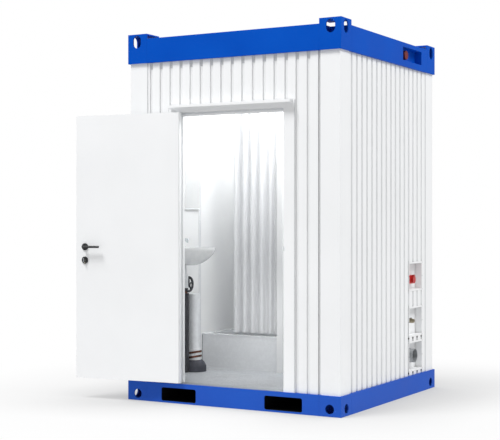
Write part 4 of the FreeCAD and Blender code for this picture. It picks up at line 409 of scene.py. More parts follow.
# %% Plastics, glaze, cloth and paper
def moulded(name, base, worn, grain_mm, depth_mm, rough, coat=0.0):
    mat, tree, shader = fresh(name)
    where = place(tree)
    handled = cloud(tree, 40, where, 4, 0.6)
    leather = add(tree, "TexVoronoi", {"feature": "SMOOTH_F1"}, Vector=where, Scale=1 / (grain_mm * MM))
    tone = blend(tree, spread(tree, handled, 0.4, 0.72, 0, 1), paint(base), paint(worn))
    set_shader(tree, shader, Base_Color=tone, Roughness=spread(tree, handled, 0.3, 0.7, rough, rough + 0.1),
               Coat_Weight=coat, Coat_Roughness=0.1)
    relief(tree, shader, leather.outputs["Distance"], depth_mm, 0.5)
    return mat


def china():
    mat, tree, shader = fresh("glazed_vitreous_china")
    where = place(tree)
    pooling = cloud(tree, 35, where, 1)
    tone = blend(tree, spread(tree, pooling, 0.35, 0.65, 0, 1), paint("F2F3F3"), paint("ECEEEE"))
    pits = spread(tree, cloud(tree, 1.5, where, 2), 0.76, 0.80, 0, 0.4)
    tone = blend(tree, pits, tone, paint("B9B5AC"))
    set_shader(tree, shader, Base_Color=tone, Roughness=0.12, Coat_Weight=0.5, Coat_Roughness=0.03)
    relief(tree, shader, pooling, 0.12)
    return mat


def weave():
    mat, tree, shader = fresh("plain_woven_polyester")
    uv = tree.nodes.new("ShaderNodeUVMap").outputs["UV"]
    warp = bands(tree, "X", 0.8, uv)
    weft = bands(tree, "Y", 0.8, uv)
    cross = add(tree, "Math", {"operation": "MULTIPLY"})
    tree.links.new(warp, cross.inputs[0])
    tree.links.new(weft, cross.inputs[1])
    slub = cloud(tree, 30, place(tree, (1, 1, 0.15)), 4, 0.6)
    tone = blend(tree, spread(tree, slub, 0.35, 0.7, 0, 1), paint("F1F2F3"), paint("EDEEF0"))
    tone = blend(tree, spread(tree, cross.outputs[0], 0, 0.4, 0.12, 0), tone, paint("C9CCD0"))
    set_shader(tree, shader, Base_Color=tone, Roughness=0.8, Sheen_Weight=0.25, Sheen_Roughness=0.5)
    relief(tree, shader, cross.outputs[0], 0.02)
    thin = add(tree, "BsdfTranslucent", Color=tone)
    both = add(tree, "MixShader", Fac=0.16)
    tree.links.new(shader.outputs[0], both.inputs[1])
    tree.links.new(thin.outputs[0], both.inputs[2])
    tree.links.new(both.outputs[0], tree.nodes["Material Output"].inputs["Surface"])
    return mat


def tissue():
    mat, tree, shader = fresh("embossed_tissue_paper")
    where = place(tree)
    dots = add(tree, "TexVoronoi", {"feature": "SMOOTH_F1"}, Vector=where, Scale=1 / (3.5 * MM),
               Randomness=0.2)
    fibre = cloud(tree, 1.2, where, 5, 0.7)
    tone = blend(tree, spread(tree, fibre, 0.3, 0.7, 0, 1), paint("F2F1EE"), paint("E2E1DD"))
    set_shader(tree, shader, Base_Color=tone, Roughness=0.95, Sheen_Weight=0.2)
    relief(tree, shader, dots.outputs["Distance"], 0.3)
    return mat


PLASTICS = {
    "black_plastic": moulded("moulded_black_nylon", "17181A", "2A2B2D", 0.8, 0.05, 0.42),
    "red_plastic": moulded("moulded_red_polyamide", "C51E1C", "A81A18", 0.7, 0.03, 0.32, 0.15),
    "white_plastic": moulded("moulded_white_acrylic", "EFF1F3", "E6E8EA", 1.5, 0.01, 0.2, 0.3),
    "pipe_plastic": moulded("extruded_white_polypropylene", "EDEFF1", "E2E4E6", 2.5, 0.01, 0.3, 0.1),
    "ceramic": china(),
    "curtain_cloth": weave(),
    "paper": tissue(),
}
GREY_PIPE = moulded("lagged_grey_pipe_sleeve", "36373B", "45464A", 1.4, 0.06, 0.6)
GREY_BOOT = rubber("moulded_grey_rubber", "474850", "5A5C61")
FINISH = {**PAINTS, **BOARDS, **METALS, **PLASTICS}
print("finishes:", len(FINISH))


# %% [markdown]
# Every CAD part first takes the finish of its material slot. The parts that keep
# their CAD shape stay as they are, and later cells replace the others.

# %% Finishes on the CAD parts
SLOT_OF = {p["node"]: p["material_slot"] for p in frame["record"]["subparts"]}
BODY_OF = {n: o["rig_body"] for n, o in NODES.items()}
for name, node in NODES.items():
    finish = FINISH[SLOT_OF[name]]
    if not node.data.materials:
        node.data.materials.append(finish)
    for s in node.material_slots:
        s.material = finish
print("finished nodes:", len(NODES))


# %% [markdown]
# Rounded edges. Rolled channels, cast corners, folded sheet and moulded or glazed
# parts have no sharp edges. A CAD part of this kind is copied, its loose triangles
# are joined, its flat faces are made whole, and its sharp edges are rounded to the
# radius that the sheet or the mould gives. The copy then stands for the CAD part.

# %% Tools for shapes
SHARP_FROM = math.radians(28)


def node_shape(name):
    """A CAD part's mesh with its triangles joined and its flat faces whole."""
    bm = bmesh.new()
    bm.from_mesh(NODES[name].data)
    bmesh.ops.remove_doubles(bm, verts=bm.verts, dist=2e-6)
    bmesh.ops.dissolve_limit(bm, angle_limit=math.radians(0.3), verts=bm.verts, edges=bm.edges)
    bmesh.ops.recalc_face_normals(bm, faces=bm.faces)
    return bm


def piece(bm, name, body, slot, finish=None, crease=32):
    """The shape as an object that rides on a body; edges flatter than the crease look smooth."""
    for f in bm.faces:
        f.smooth = True
    for e in bm.edges:
        e.smooth = len(e.link_faces) == 2 and e.calc_face_angle(0) < math.radians(crease)
    mesh = bpy.data.meshes.new(name)
    bm.to_mesh(mesh)
    bm.free()
    made = bpy.data.objects.new(name, mesh)
    bpy.context.scene.collection.objects.link(made)
    mesh.materials.append(finish or FINISH[slot])
    flat = made.modifiers.new("flat_faces_stay_flat", "WEIGHTED_NORMAL")
    flat.keep_sharp = True
    flat.weight = 100
    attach(made, body)
    return made


def round_edges(bm, radius_mm, steps=3):
    """Rounds the sharp edges and says how many."""
    picked = [e for e in bm.edges if len(e.link_faces) == 2 and e.calc_face_angle(0) > SHARP_FROM]
    bmesh.ops.bevel(bm, geom=picked, offset=radius_mm * MM, offset_type="OFFSET", segments=steps,
                    profile=0.5, affect="EDGES", clamp_overlap=True, material=-1)
    return len(picked)


def stand_in(name, radius_mm, finish=None):
    """Rounded copy of a CAD part that takes its place."""
    bm = node_shape(name)
    count = round_edges(bm, radius_mm)
    made = piece(bm, name + "_rounded", BODY_OF[name], SLOT_OF[name], finish)
    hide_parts(name)
    print(f"{name}: {count} edges rounded to {radius_mm} mm, {len(made.data.polygons)} faces")
    return made


# %% Rounded copies
SPECIAL = {"riser_sleeve": GREY_PIPE, "valve_handwheel": GREY_PIPE, "floor_boot": GREY_BOOT}
for name, radius in (("base_rails", 2.4), ("bottom_corner_blocks", 4.5), ("roof_rails", 1.4),
                     ("top_corner_blocks", 4.5), ("corner_posts", 1.4), ("door_frame", 0.7),
                     ("drip_cap", 0.5), ("threshold_plate", 0.8), ("connection_boxes", 0.9),
                     ("hinge_leaf_halves", 0.8), ("hinge_frame_halves", 0.8), ("lock_case", 0.6),
                     ("thumb_turn", 0.8), ("power_inlets", 0.9), ("wall_inlet_lid", 0.9),
                     ("water_valve_lever", 1.0), ("tray_apron", 2.0), ("shower_partition", 1.5),
                     ("shower_tray", 2.5), ("wash_basin", 5.0), ("toilet_bowl", 4.0),
                     ("toilet_seat", 4.5), ("toilet_lid", 4.5), ("cistern", 4.0),
                     ("flush_button", 1.2), ("mirror", 1.0), ("paper_holder", 1.2),
                     ("basin_tap", 1.2), ("tap_lever", 2.5), ("mixer_lever", 2.0),
                     ("shower_fittings", 1.0), ("ceiling_light", 5.0), ("floor_boot", 2.5),
                     ("riser_sleeve", 1.5), ("valve_handwheel", 1.2), ("waste_pipes", 1.2)):
    stand_in(name, radius, finish=SPECIAL.get(name))


# %% [markdown]
# Two of the copies carry a second finish. The blanking cap in the roof pocket is
# painted a darker red than the inlet in the wall, as painted shade for the deep
# pocket it sits in, and the waste pipe is painted grey where it opens to the
# outside, as painted shade inside its open mouth. Both are picked out by where
# their faces lie, in metres.

# %% Second finishes
def second_finish(name, finish, chosen):
    """Gives the faces that chosen() picks a second finish."""
    mesh = bpy.data.objects[name].data
    mesh.materials.append(finish)
    picked = [f for f in mesh.polygons if chosen(f.center)]
    for f in picked:
        f.material_index = 1
    print(name, len(picked), "faces in", finish.name)


CAP_FROM_Z, OUTER_PIPE_FROM_X = 2.0, 0.75
# Painted shade: the roof cap's faces take a darker red for the shadow in its pocket.
second_finish("power_inlets_rounded", moulded("dark_red_polyamide_cap", "7A0F12", "660C0F", 0.7, 0.03, 0.38),
              lambda at: at.z > CAP_FROM_Z)
# Painted shade: the pipe's outer end, bore included, is grey for the shade inside its open mouth.
second_finish("waste_pipes_rounded", moulded("grey_pipe_mouth_painted_shade", "A6A9AC", "85888B", 2.5, 0.02, 0.4),
              lambda at: at.x > OUTER_PIPE_FROM_X)


# %% [markdown]
# The shower curtain is one piece of woven polyester, hung by its header tape from a
# ceiling track. It is pushed back to the partition and still covers a little over
# half of the opening. It hangs in soft folds that grow deeper towards the hem. Its
# line is the same as in the CAD, with the small waves that cloth has between folds.

# %% Curtain
FOLDS = (38, 43, 42, 33, 41, 41, 43, 41, 38, 21, 19, 18)
FOLD_ANGLE = math.radians(80)
FREE_EDGE_X, CURTAIN_Y, HEM_Z, HEAD_Z = -525, 72, 458, 2458
ROWS = 90


def fold_points(flank):
    """Points in mm along the middle of the cloth at one height."""
    at = Vector((FREE_EDGE_X, CURTAIN_Y - flank * math.sin(FOLD_ANGLE) / 2, 0))
    turn = -1
    points = []
    for chord in FOLDS:
        arc = chord - flank * math.cos(FOLD_ANGLE)
        radius = arc / (2 * math.sin(FOLD_ANGLE))
        centre = at + Vector((arc / 2, -turn * radius * math.cos(FOLD_ANGLE), 0))
        for k in range(9):
            a = -FOLD_ANGLE + 2 * FOLD_ANGLE * k / 8
            points.append(centre + Vector((radius * math.sin(a), turn * radius * math.cos(a), 0)))
        at = at + Vector((arc + flank * math.cos(FOLD_ANGLE), turn * -flank * math.sin(FOLD_ANGLE), 0))
        turn = -turn
    return points


def cloth(low_z, high_z, rows):
    """The cloth between two heights."""
    head, hem = fold_points(8), fold_points(20)
    count = len(head)
    bm = bmesh.new()
    made = bmesh.ops.create_grid(bm, x_segments=count - 1, y_segments=rows, size=0.5)
    uv = bm.loops.layers.uv.new("thread")
    grid = sorted(made["verts"], key=lambda v: (round(v.co.y, 5), v.co.x))
    along = [0.0]
    for a, b in zip(hem, hem[1:]):
        along.append(along[-1] + (b - a).length * MM)
    spot = {}
    for i, v in enumerate(grid):
        row, col = divmod(i, count)
        z = low_z + (high_z - low_z) * row / rows
        up = (z - HEM_Z) / (HEAD_Z - HEM_Z)
        p = hem[col].lerp(head[col], up)
        before, after = max(col - 1, 0), min(col + 1, count - 1)
        way = hem[after].lerp(head[after], up) - hem[before].lerp(head[before], up)
        out = Vector((-way.y, way.x, 0)).normalized()
        loose = min(1.0, (1 - up) * 4 + 0.15)
        wave = 0.8 * noise.noise(Vector((p.x / 60, z / 700, 2.1)))
        wave += 0.1 * noise.noise(Vector((p.x / 18, z / 160, 9.4)))
        p = p + out * (wave * loose)
        v.co = Vector((p.x, p.y, z)) * MM
        spot[v] = (along[col], z * MM)
    for f in bm.faces:
        for loop in f.loops:
            loop[uv].uv = spot[loop.vert]
    bmesh.ops.recalc_face_normals(bm, faces=bm.faces)
    return bm


curtain = piece(cloth(HEM_Z, HEAD_Z, ROWS), "curtain_cloth", "cabin", "curtain_cloth", crease=80)
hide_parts("shower_curtain")
smooth = curtain.modifiers.new("soft_folds", "SUBSURF")
smooth.levels = smooth.render_levels = 1

hem = piece(cloth(HEM_Z, HEM_Z + 28, 3), "curtain_hem", "cabin", "curtain_cloth", crease=80)
tape = piece(cloth(HEAD_Z - 32, HEAD_Z, 3), "curtain_header_tape", "cabin", "curtain_cloth", crease=80)
for strip in (hem, tape):
    thick = strip.modifiers.new("folded_over", "SOLIDIFY")
    thick.thickness = 1.6 * MM
    thick.offset = 0
print("curtain faces:", len(curtain.data.polygons))


# %% [markdown]
# Profile fillers. Where the grooved wall sheet runs up behind the roof rail, the
# builder pushes a grey foam plug into each groove, so that rain and wasps stay out
# of the wall. Their grey is also painted shade: it stands in for the shadow that the
# rail casts into each groove, a row of small grey marks under the blue rail.

# %% Groove fillers with painted shade
def grey_foam():
    mat, tree, shader = fresh("grey_foam_and_painted_groove_shade")
    where = place(tree)
    cells = cloud(tree, 1.1, where, 4, 0.7)
    tone = blend(tree, spread(tree, cells, 0.3, 0.7, 0, 1), paint("C3C6CA"), paint("D8DADC"))
    set_shader(tree, shader, Base_Color=tone, Roughness=0.9)
    relief(tree, shader, cells, 0.3)
    return mat


# Painted shade, in part: the plugs' grey stands in for the shadow the roof rail casts into each groove.
GROOVE_FOAM_AND_SHADE = grey_foam()
GROOVE_FLOOR, GROOVE_WIDE, PITCH = 872, 28, 89
ROOF_RAIL_Z = 2567


def wall_turns():
    """Each wall as the places of its grooves and the turn that takes the front to it."""
    front = [PITCH * k for k in range(-8, 9) if -729 <= PITCH * k <= 700]
    side = [-702 + PITCH * k for k in range(16)]
    yield front, lambda u, d, z: Vector((u, -d, z))
    yield front, lambda u, d, z: Vector((u, d, z))
    yield side, lambda u, d, z: Vector((d, u, z))
    yield side, lambda u, d, z: Vector((-d, u, z))


FILLER_TALL, FILLER_PROUD_TOP, FILLER_PROUD_FOOT = 50, 7.5, 1.5
BACK_INSET, TOP_INSET, FOOT_INSET = 4.5, 1.5, 4.2
fillers = bmesh.new()
for starts, put in wall_turns():
    for start in starts:
        plug = bmesh.ops.create_cube(fillers, size=1.0)["verts"]
        for v in plug:
            outside = v.co.y > 0
            top = v.co.z > 0
            proud = FILLER_PROUD_TOP if top else FILLER_PROUD_FOOT
            depth = GROOVE_FLOOR + (proud if outside else -0.5)
            inset = (TOP_INSET if top else FOOT_INSET) if outside else BACK_INSET
            u = start + GROOVE_WIDE / 2 + math.copysign(GROOVE_WIDE / 2 - inset, v.co.x)
            v.co = put(u, depth, ROOF_RAIL_Z if top else ROOF_RAIL_Z - FILLER_TALL) * MM
round_edges(fillers, 1.2, 2)
bmesh.ops.recalc_face_normals(fillers, faces=fillers.faces)
fillers = piece(fillers, "groove_fillers", "cabin", "seal_rubber", GROOVE_FOAM_AND_SHADE)
print("groove fillers:", len(fillers.data.polygons), "faces")


# %% [markdown]
# Seams, screws and seals. These are the small things that a fitter adds on site:
# screws through plates and frames, sealant in the corners, weld beads where the
# rails meet the corner blocks, strips over board joints, and the dark shadow line
# where the wall sheet slides under a post. Each is laid on the face it belongs to.

# %% Tools for small parts
def bar(bm, x, y, z):
    """Box between three pairs of mm."""
    made = bmesh.ops.create_cube(bm, size=1.0)["verts"]
    for v in made:
        v.co = Vector([(lo + hi) / 2 + t * (hi - lo) for t, (lo, hi) in zip(v.co, (x, y, z))]) * MM
    return made


def drawn_along(bm, section, start, end, step_mm, swell):
    """Draws a section, given round its start, to the end; swell(place) is its size on the way."""
    start, end = Vector(start) * MM, Vector(end) * MM
    before = len(bm.verts)
    cap = bm.faces.new([bm.verts.new(start + p * MM) for p in section])
    pulled = bmesh.ops.extrude_face_region(bm, geom=[cap])["geom"]
    far = {g for g in pulled if isinstance(g, bmesh.types.BMVert)}
    bmesh.ops.translate(bm, verts=list(far), vec=end - start)
    lines = {e for v in far for e in v.link_edges if e.other_vert(v) not in far}
    cuts = max(1, round((end - start).length / (step_mm * MM)) - 1)
    bmesh.ops.subdivide_edges(bm, edges=list(lines), cuts=cuts, use_grid_fill=True)
    bm.verts.ensure_lookup_table()
    along = (end - start).normalized()
    for v in bm.verts[before:]:
        middle = start + along * (v.co - start).dot(along)
        v.co = middle + (v.co - middle) * swell(middle / MM)


def bead(bm, start, end, one, two, size_mm):
    """Hollow sealant fillet between the two faces that one and two run along."""
    one, two = Vector(one), Vector(two)
    section = [Vector(), one * size_mm, (one + two) * (size_mm * 0.36), two * size_mm]
    drawn_along(bm, section, start, end, 40, lambda at: 1 + 0.18 * noise.noise(at / 55))


def weld(bm, start, end, out, size_mm):
    """Half-round weld bead with the ripples of its run."""
    out = Vector(out).normalized()
    side = (Vector(end) - Vector(start)).normalized().cross(out)
    section = [side * (size_mm * math.cos(a)) + out * (size_mm * 0.55 * math.sin(a))
               for a in [math.pi * i / 6 for i in range(7)]]

    def ripple(at):
        return 0.93 + 0.07 * math.cos(at.length * math.tau / 6) + 0.10 * noise.noise(at / 9)
    drawn_along(bm, section, start, end, 2, ripple)


def screw(bm, at, way, radius_mm=4.0):
    """Low round screw head with a recess."""
    turn = Vector((0, 0, 1)).rotation_difference(Vector(way)).to_matrix().to_4x4()
    tall = 0.45 * radius_mm * MM
    spot = Matrix.Translation(Vector(at) * MM) @ turn @ Matrix.Translation((0, 0, tall / 2))
    head = bmesh.ops.create_cone(bm, cap_ends=True, segments=24, radius1=radius_mm * MM,
                                 radius2=0.84 * radius_mm * MM, depth=tall, matrix=spot)["verts"]
    caps = {f for v in head for f in v.link_faces if len(f.verts) == 24}
    top = max(caps, key=lambda f: f.calc_center_median().dot(Vector(way)))
    bmesh.ops.inset_individual(bm, faces=[top], thickness=0.42 * radius_mm * MM, depth=0)
    bmesh.ops.inset_individual(bm, faces=[top], thickness=0.05 * radius_mm * MM, depth=-0.3 * radius_mm * MM)


def small(bm, name, slot, finish=None, crease=32):
    """The small parts as one piece of the cabin, with its normals turned outwards."""
    bmesh.ops.recalc_face_normals(bm, faces=bm.faces)
    made = piece(bm, name, "cabin", slot, finish, crease)
    print(name, len(made.data.polygons), "faces")
    return made


# %% [markdown]
# Where the wall sheet slides under a post the gap is filled with grey mastic, and
# seen from a few metres the gap is a thin dark line. The strip's dark grey is partly
# painted shade, standing in for the shadow inside the gap. The same line runs
# beside the door frame and at the end of the tray's apron. It is a narrow strip
# with its face just proud of the sheet, since a line in the material would need a
# pattern as fine as the gap.

# %% Dark joint lines
def mastic():
    mat, tree, shader = fresh("dark_mastic_and_gap_shade")
    grime_and_gap_shade = cloud(tree, 12, place(tree, (1, 1, 0.2)), 4, 0.6)
    # Painted shade: the strip is dark grey for the shadow inside the gap, over the mastic's own grey.
    tone = blend(tree, spread(tree, grime_and_gap_shade, 0.3, 0.7, 0, 1), paint("6C7075"), paint("8C9094"))
    set_shader(tree, shader, Base_Color=tone, Roughness=0.8)
    relief(tree, shader, grime_and_gap_shade, 0.05)
    return mat


BOTH = (-1, 1)
BASE_TOP = 147
POST_JOINT, JOINT_HALF = 730.4, 1.6
JOINT_FACE, JOINT_PROUD = 882.6, 0.7
FRAME_SIDES, FRAME_FACE, FRAME_TOP = (-535.2, 528.4), (-888.4, -887.6), 2230
MASTIC_AND_GAP_SHADE = mastic()


def about(middle, half):
    return middle - half, middle + half


bm = bmesh.new()
for x in (-POST_JOINT, POST_JOINT):
    for y in (-JOINT_FACE, JOINT_FACE):
        along, through = about(x, JOINT_HALF), about(y, JOINT_PROUD)
        bar(bm, along, through, (BASE_TOP + 1, ROOF_RAIL_Z))
        bar(bm, through, along, (BASE_TOP + 1, ROOF_RAIL_Z))
for side in FRAME_SIDES:
    bar(bm, about(side, 0.9), FRAME_FACE, (BASE_TOP + 2, FRAME_TOP))
small(bm, "wall_joint_lines", "seal_rubber", MASTIC_AND_GAP_SHADE)

bm = bmesh.new()
bar(bm, (-811.9, -807.5), (34.2, 35.6), (152, 424))
small(bm, "tray_joint_line", "seal_rubber", MASTIC_AND_GAP_SHADE)


# %% [markdown]
# The lining boards meet in the middle of the left wall and in the corners. A white
# plastic strip covers each joint, with a thin line of pale grey seal on both sides of
# the middle one; that grey is partly painted shade along the strip's edges. The
# strips are boxes with their edges rounded, as extruded.

# %% Strips over the board joints
FLOOR_TOP, CEILING, SKIRTING = 150, 2555, 8
LINING = 812
STRIP_WIDE, STRIP_THICK = 16, 2.2
SEAL_FACE = (-810.4, -809.2)

# Painted shade, in part: pale grey seal lines along both edges of the middle strip.
bm = bmesh.new()
for y in ((-20.6, -18.6), (8.6, 10.6)):
    bar(bm, SEAL_FACE, y, (FLOOR_TOP + SKIRTING, CEILING - 1))
small(bm, "room_joint_lines", "pale_rubber", FINISH["pale_rubber"])


def inwards(corner, reach):
    """Span from a corner's place towards the middle of the room."""
    return sorted((corner, corner - math.copysign(reach, corner)))


bm = bmesh.new()
bar(bm, (-LINING, -809.6), (-18.6, 8.6), (FLOOR_TOP + 2, CEILING))
for x, y in ((-811, -811), (811, -811), (811, 811)):
    up = (FLOOR_TOP + SKIRTING, CEILING)
    bar(bm, inwards(x, STRIP_WIDE), inwards(y, STRIP_THICK), up)
    bar(bm, inwards(x, STRIP_THICK), inwards(y, STRIP_WIDE), up)
round_edges(bm, 0.8, 2)
small(bm, "board_joint_strips", "white_lining", FINISH["white_plastic"])


# %% [markdown]
# Under the second and third wall box short black pieces sit in the grooves of the
# sheet: painted shade, a row of dark marks where the box flange shades each groove.

# %% Painted shade under the wall boxes
BOX_SIDES = (374, 666)
BOX_HEIGHTS = ((811, 1042), (449, 689), (175, 415))
SHADE_MARK_TALL, SHADE_MARK_BELOW_BOX = 14, 1
SHADE_MARK_DEPTH = (868, 881.6)

# Painted shade: black pieces in the grooves just under the box flanges.
bm = bmesh.new()
for start in [-702 + PITCH * k for k in range(16)]:
    if BOX_SIDES[0] - GROOVE_WIDE / 2 < start < BOX_SIDES[1] - 6:
        for box_foot in (175, 449):
            top = box_foot - SHADE_MARK_BELOW_BOX
            wide = (max(start + 2, BOX_SIDES[0] + 2), start + GROOVE_WIDE - 1)
            bar(bm, SHADE_MARK_DEPTH, wide, (top - SHADE_MARK_TALL, top))
round_edges(bm, 1.0, 2)
small(bm, "box_groove_plugs", "seal_rubber", FINISH["seal_rubber"])


# %% [markdown]
# Stainless screws hold the frames of the wall boxes, the threshold plate and the
# frame halves of the hinges. Each head is a short cone with a recess.

# %% Screws
SCREW_INSET = 8.0
BOX_FACE, THRESHOLD_TOP, HINGE_PLATE_FACE = 884, 152, -892
HINGE_FEET, HINGE_SCREW_UP, HINGE_SCREW_X = (270, 1130, 1930), (14, 60, 106), (-494, -468)

bm = bmesh.new()
for low, high in BOX_HEIGHTS:
    for y in (BOX_SIDES[0] + SCREW_INSET, BOX_SIDES[1] - SCREW_INSET):
        for z in (low + SCREW_INSET, (low + high) / 2, high - SCREW_INSET):
            screw(bm, (BOX_FACE, y, z), (1, 0, 0), 3.6)
for x in (-420, -210, 0, 210, 400):
    screw(bm, (x, -850, THRESHOLD_TOP), (0, 0, 1), 4.0)
for foot in HINGE_FEET:
    for up in HINGE_SCREW_UP:
        for x in HINGE_SCREW_X:
            screw(bm, (x, HINGE_PLATE_FACE, foot + up), (0, -1, 0), 4.4)
small(bm, "fixing_screws", "satin_steel", FINISH["satin_steel"])


# %% [markdown]
# The rails are welded to the corner blocks and the posts to the blocks. Each bead
# is a half-round drawn along the joint, with the small ripples of the run.

# %% Weld beads on the frame
BLOCK_END, BEAD_IN_RAIL = 729, 897.6
POST_FACE, POST_BEAD = 885, (740, 884)
TILT = 0.35

bm = bmesh.new()
for sx in BOTH:
    for sy in BOTH:
        for low, high in ((6, 141), (2573, 2746)):
            x, y = sx * BLOCK_END, sy * BEAD_IN_RAIL
            weld(bm, (x, y, low), (x, y, high), (0, sy, 0), 3.2)
            x, y = sx * BEAD_IN_RAIL, sy * BLOCK_END
            weld(bm, (x, y, low), (x, y, high), (sx, 0, 0), 3.2)
small(bm, "frame_welds", "blue_frame_paint")

bm = bmesh.new()
for sx in BOTH:
    for sy in BOTH:
        for z, tilt in ((BASE_TOP, TILT), (ROOF_RAIL_Z, -TILT)):
            x, y = sx * POST_FACE, sy * POST_FACE
            near, far = POST_BEAD
            weld(bm, (sx * near, y, z), (sx * far, y, z), (0, sy, tilt), 2.8)
            weld(bm, (x, sy * near, z), (x, sy * far, z), (sx, 0, tilt), 2.8)
small(bm, "post_welds", "white_wall_coating")


# %% [markdown]
# White sealant closes the corners of the wet room: round the floor, along basin and
# tray, up the shower's corners and under the ceiling. Each bead is drawn between
# the two faces it sticks to, hollow as a finger leaves it.

# %% Sealant
RIGHT, LEFT = (1, 0, 0), (-1, 0, 0)
FORWARD, UP, DOWN = (0, -1, 0), (0, 0, 1), (0, 0, -1)
TRAY_FRONT, APRON_TOP, TRAY_RIM, SHOWER_TOP = 35, 425, 431, 435
SHOWER_SIDE, BAY_SIDE = -103, -49

bm = bmesh.new()
bead(bm, (-LINING, -755, 1157), (-LINING, -225, 1157), RIGHT, UP, 5)
bead(bm, (-LINING, -LINING, FLOOR_TOP), (-LINING, -294, FLOOR_TOP), RIGHT, UP, 9)
bead(bm, (-LINING, -95, FLOOR_TOP), (-LINING, TRAY_FRONT, FLOOR_TOP), RIGHT, UP, 9)
bead(bm, (-LINING, TRAY_FRONT, FLOOR_TOP), (SHOWER_SIDE, TRAY_FRONT, FLOOR_TOP), FORWARD, UP, 6)
bead(bm, (-LINING, TRAY_FRONT, APRON_TOP), (-LINING, LINING, APRON_TOP), RIGHT, UP, 6)
bead(bm, (SHOWER_SIDE, 60, TRAY_RIM), (SHOWER_SIDE, LINING, TRAY_RIM), LEFT, UP, 6)
bead(bm, (-LINING, LINING, TRAY_RIM), (SHOWER_SIDE, LINING, TRAY_RIM), FORWARD, UP, 6)
bead(bm, (BAY_SIDE, 20, FLOOR_TOP), (BAY_SIDE, LINING, FLOOR_TOP), RIGHT, UP, 7)
bead(bm, (LINING, -LINING, FLOOR_TOP), (LINING, LINING, FLOOR_TOP), LEFT, UP, 9)
bead(bm, (BAY_SIDE, LINING, FLOOR_TOP), (LINING, LINING, FLOOR_TOP), FORWARD, UP, 9)
bead(bm, (180, LINING, 920), (560, LINING, 920), FORWARD, UP, 4)
bead(bm, (-LINING, LINING, SHOWER_TOP), (-LINING, LINING, CEILING), RIGHT, FORWARD, 6)
bead(bm, (SHOWER_SIDE, LINING, SHOWER_TOP), (SHOWER_SIDE, LINING, CEILING), LEFT, FORWARD, 6)
bead(bm, (-LINING, -LINING, CEILING), (-LINING, LINING, CEILING), RIGHT, DOWN, 6)
small(bm, "white_sealant", "pale_rubber", FINISH["pale_rubber"], 60)


# %% [markdown]
# The mirror stands in two white rails, screwed to the wall above and below it. They
# are boxes with their edges rounded, a little deeper than the glass.

# %% Mirror rails
MIRROR_SIDES, MIRROR_ENDS, RAIL_DEEP = (-723, -23), (1465, 2065), 18

bm = bmesh.new()
for z in MIRROR_ENDS:
    bar(bm, (-LINING, -LINING + RAIL_DEEP), MIRROR_SIDES, (z - 7, z + 4))
round_edges(bm, 1.5, 2)
small(bm, "mirror_rails", "white_plastic")


# %% [markdown]
# The studio's high lamp throws hard patches through the open door that the
# photograph does not show. So what is in the room is listed here, and the lamp is
# told to leave it out when the lamps are set.

# %% What is in the room
ROOM = ("floor_covering", "inner_linings", "ceiling_panel", "shower_tray", "tray_apron",
        "shower_partition", "curtain_track", "shower_curtain", "shower_fittings", "mixer_lever",
        "wash_basin", "basin_tap", "tap_lever", "waste_pipes", "mirror", "water_pipes", "riser_sleeve",
        "valve_handwheel", "floor_boot", "toilet_bowl", "toilet_seat", "toilet_lid", "cistern",
        "paper_holder", "paper_roll", "curtain_cloth", "curtain_hem", "curtain_header_tape",
        "room_joint_lines", "tray_joint_line", "board_joint_strips", "white_sealant", "mirror_rails")
IN_ROOM = [made for made in bpy.context.scene.objects
           if made.type == "MESH" and made.name.replace("_rounded", "") in ROOM]
print("in the room:", len(IN_ROOM))


# %% [markdown]
# The studio. The cabin stands on a white sweep: near it the floor takes the soft
# shadow, and further out it turns into the plain white background. Part of the
# near shadow is drawn from how much open sky a spot sees, so that it stays as soft
# as in the photograph. One large soft lamp stands high in front and to the left and
# a weaker one high on the right. Four small lamps light the room: one in the middle
# under the ceiling, one in the shower, one in the toilet bay, and one low inside
# the door, clear of the closed leaf.

# %% Floor and background
HALF_FOOTPRINT = 0.9            # metres from the middle to the rails' faces
FADE_FROM, FADE_TO = 0.02, 2.2  # metres from the cabin over which the floor turns white
WHITE_AT_CABIN = 0.68           # share of the drawn white beside the cabin
SHADOW_REACH, SHADOW_TONE = 0.9, 0.62
FLOOR_SEEN = (0.53, 0.53, 0.53 * 1.005, 1)
FLOOR_BOUNCE, SWEEP_BOUNCE = 0.78, 0.72


def grey(level):
    return level, level, level, 1


def from_cabin(tree):
    """Metres from the cabin's footprint, in the plane of the floor."""
    across = add(tree, "VectorMath", {"operation": "ABSOLUTE"})
    tree.links.new(add(tree, "TexCoord").outputs["Object"], across.inputs[0])
    past = add(tree, "VectorMath", {"operation": "SUBTRACT"})
    tree.links.new(across.outputs["Vector"], past.inputs[0])
    past.inputs[1].default_value = (HALF_FOOTPRINT, HALF_FOOTPRINT, 0)
    outside = add(tree, "VectorMath", {"operation": "MAXIMUM"})
    tree.links.new(past.outputs["Vector"], outside.inputs[0])
    outside.inputs[1].default_value = (0, 0, 0)
    away = add(tree, "VectorMath", {"operation": "LENGTH"})
    tree.links.new(outside.outputs["Vector"], away.inputs[0])
    return away.outputs["Value"]


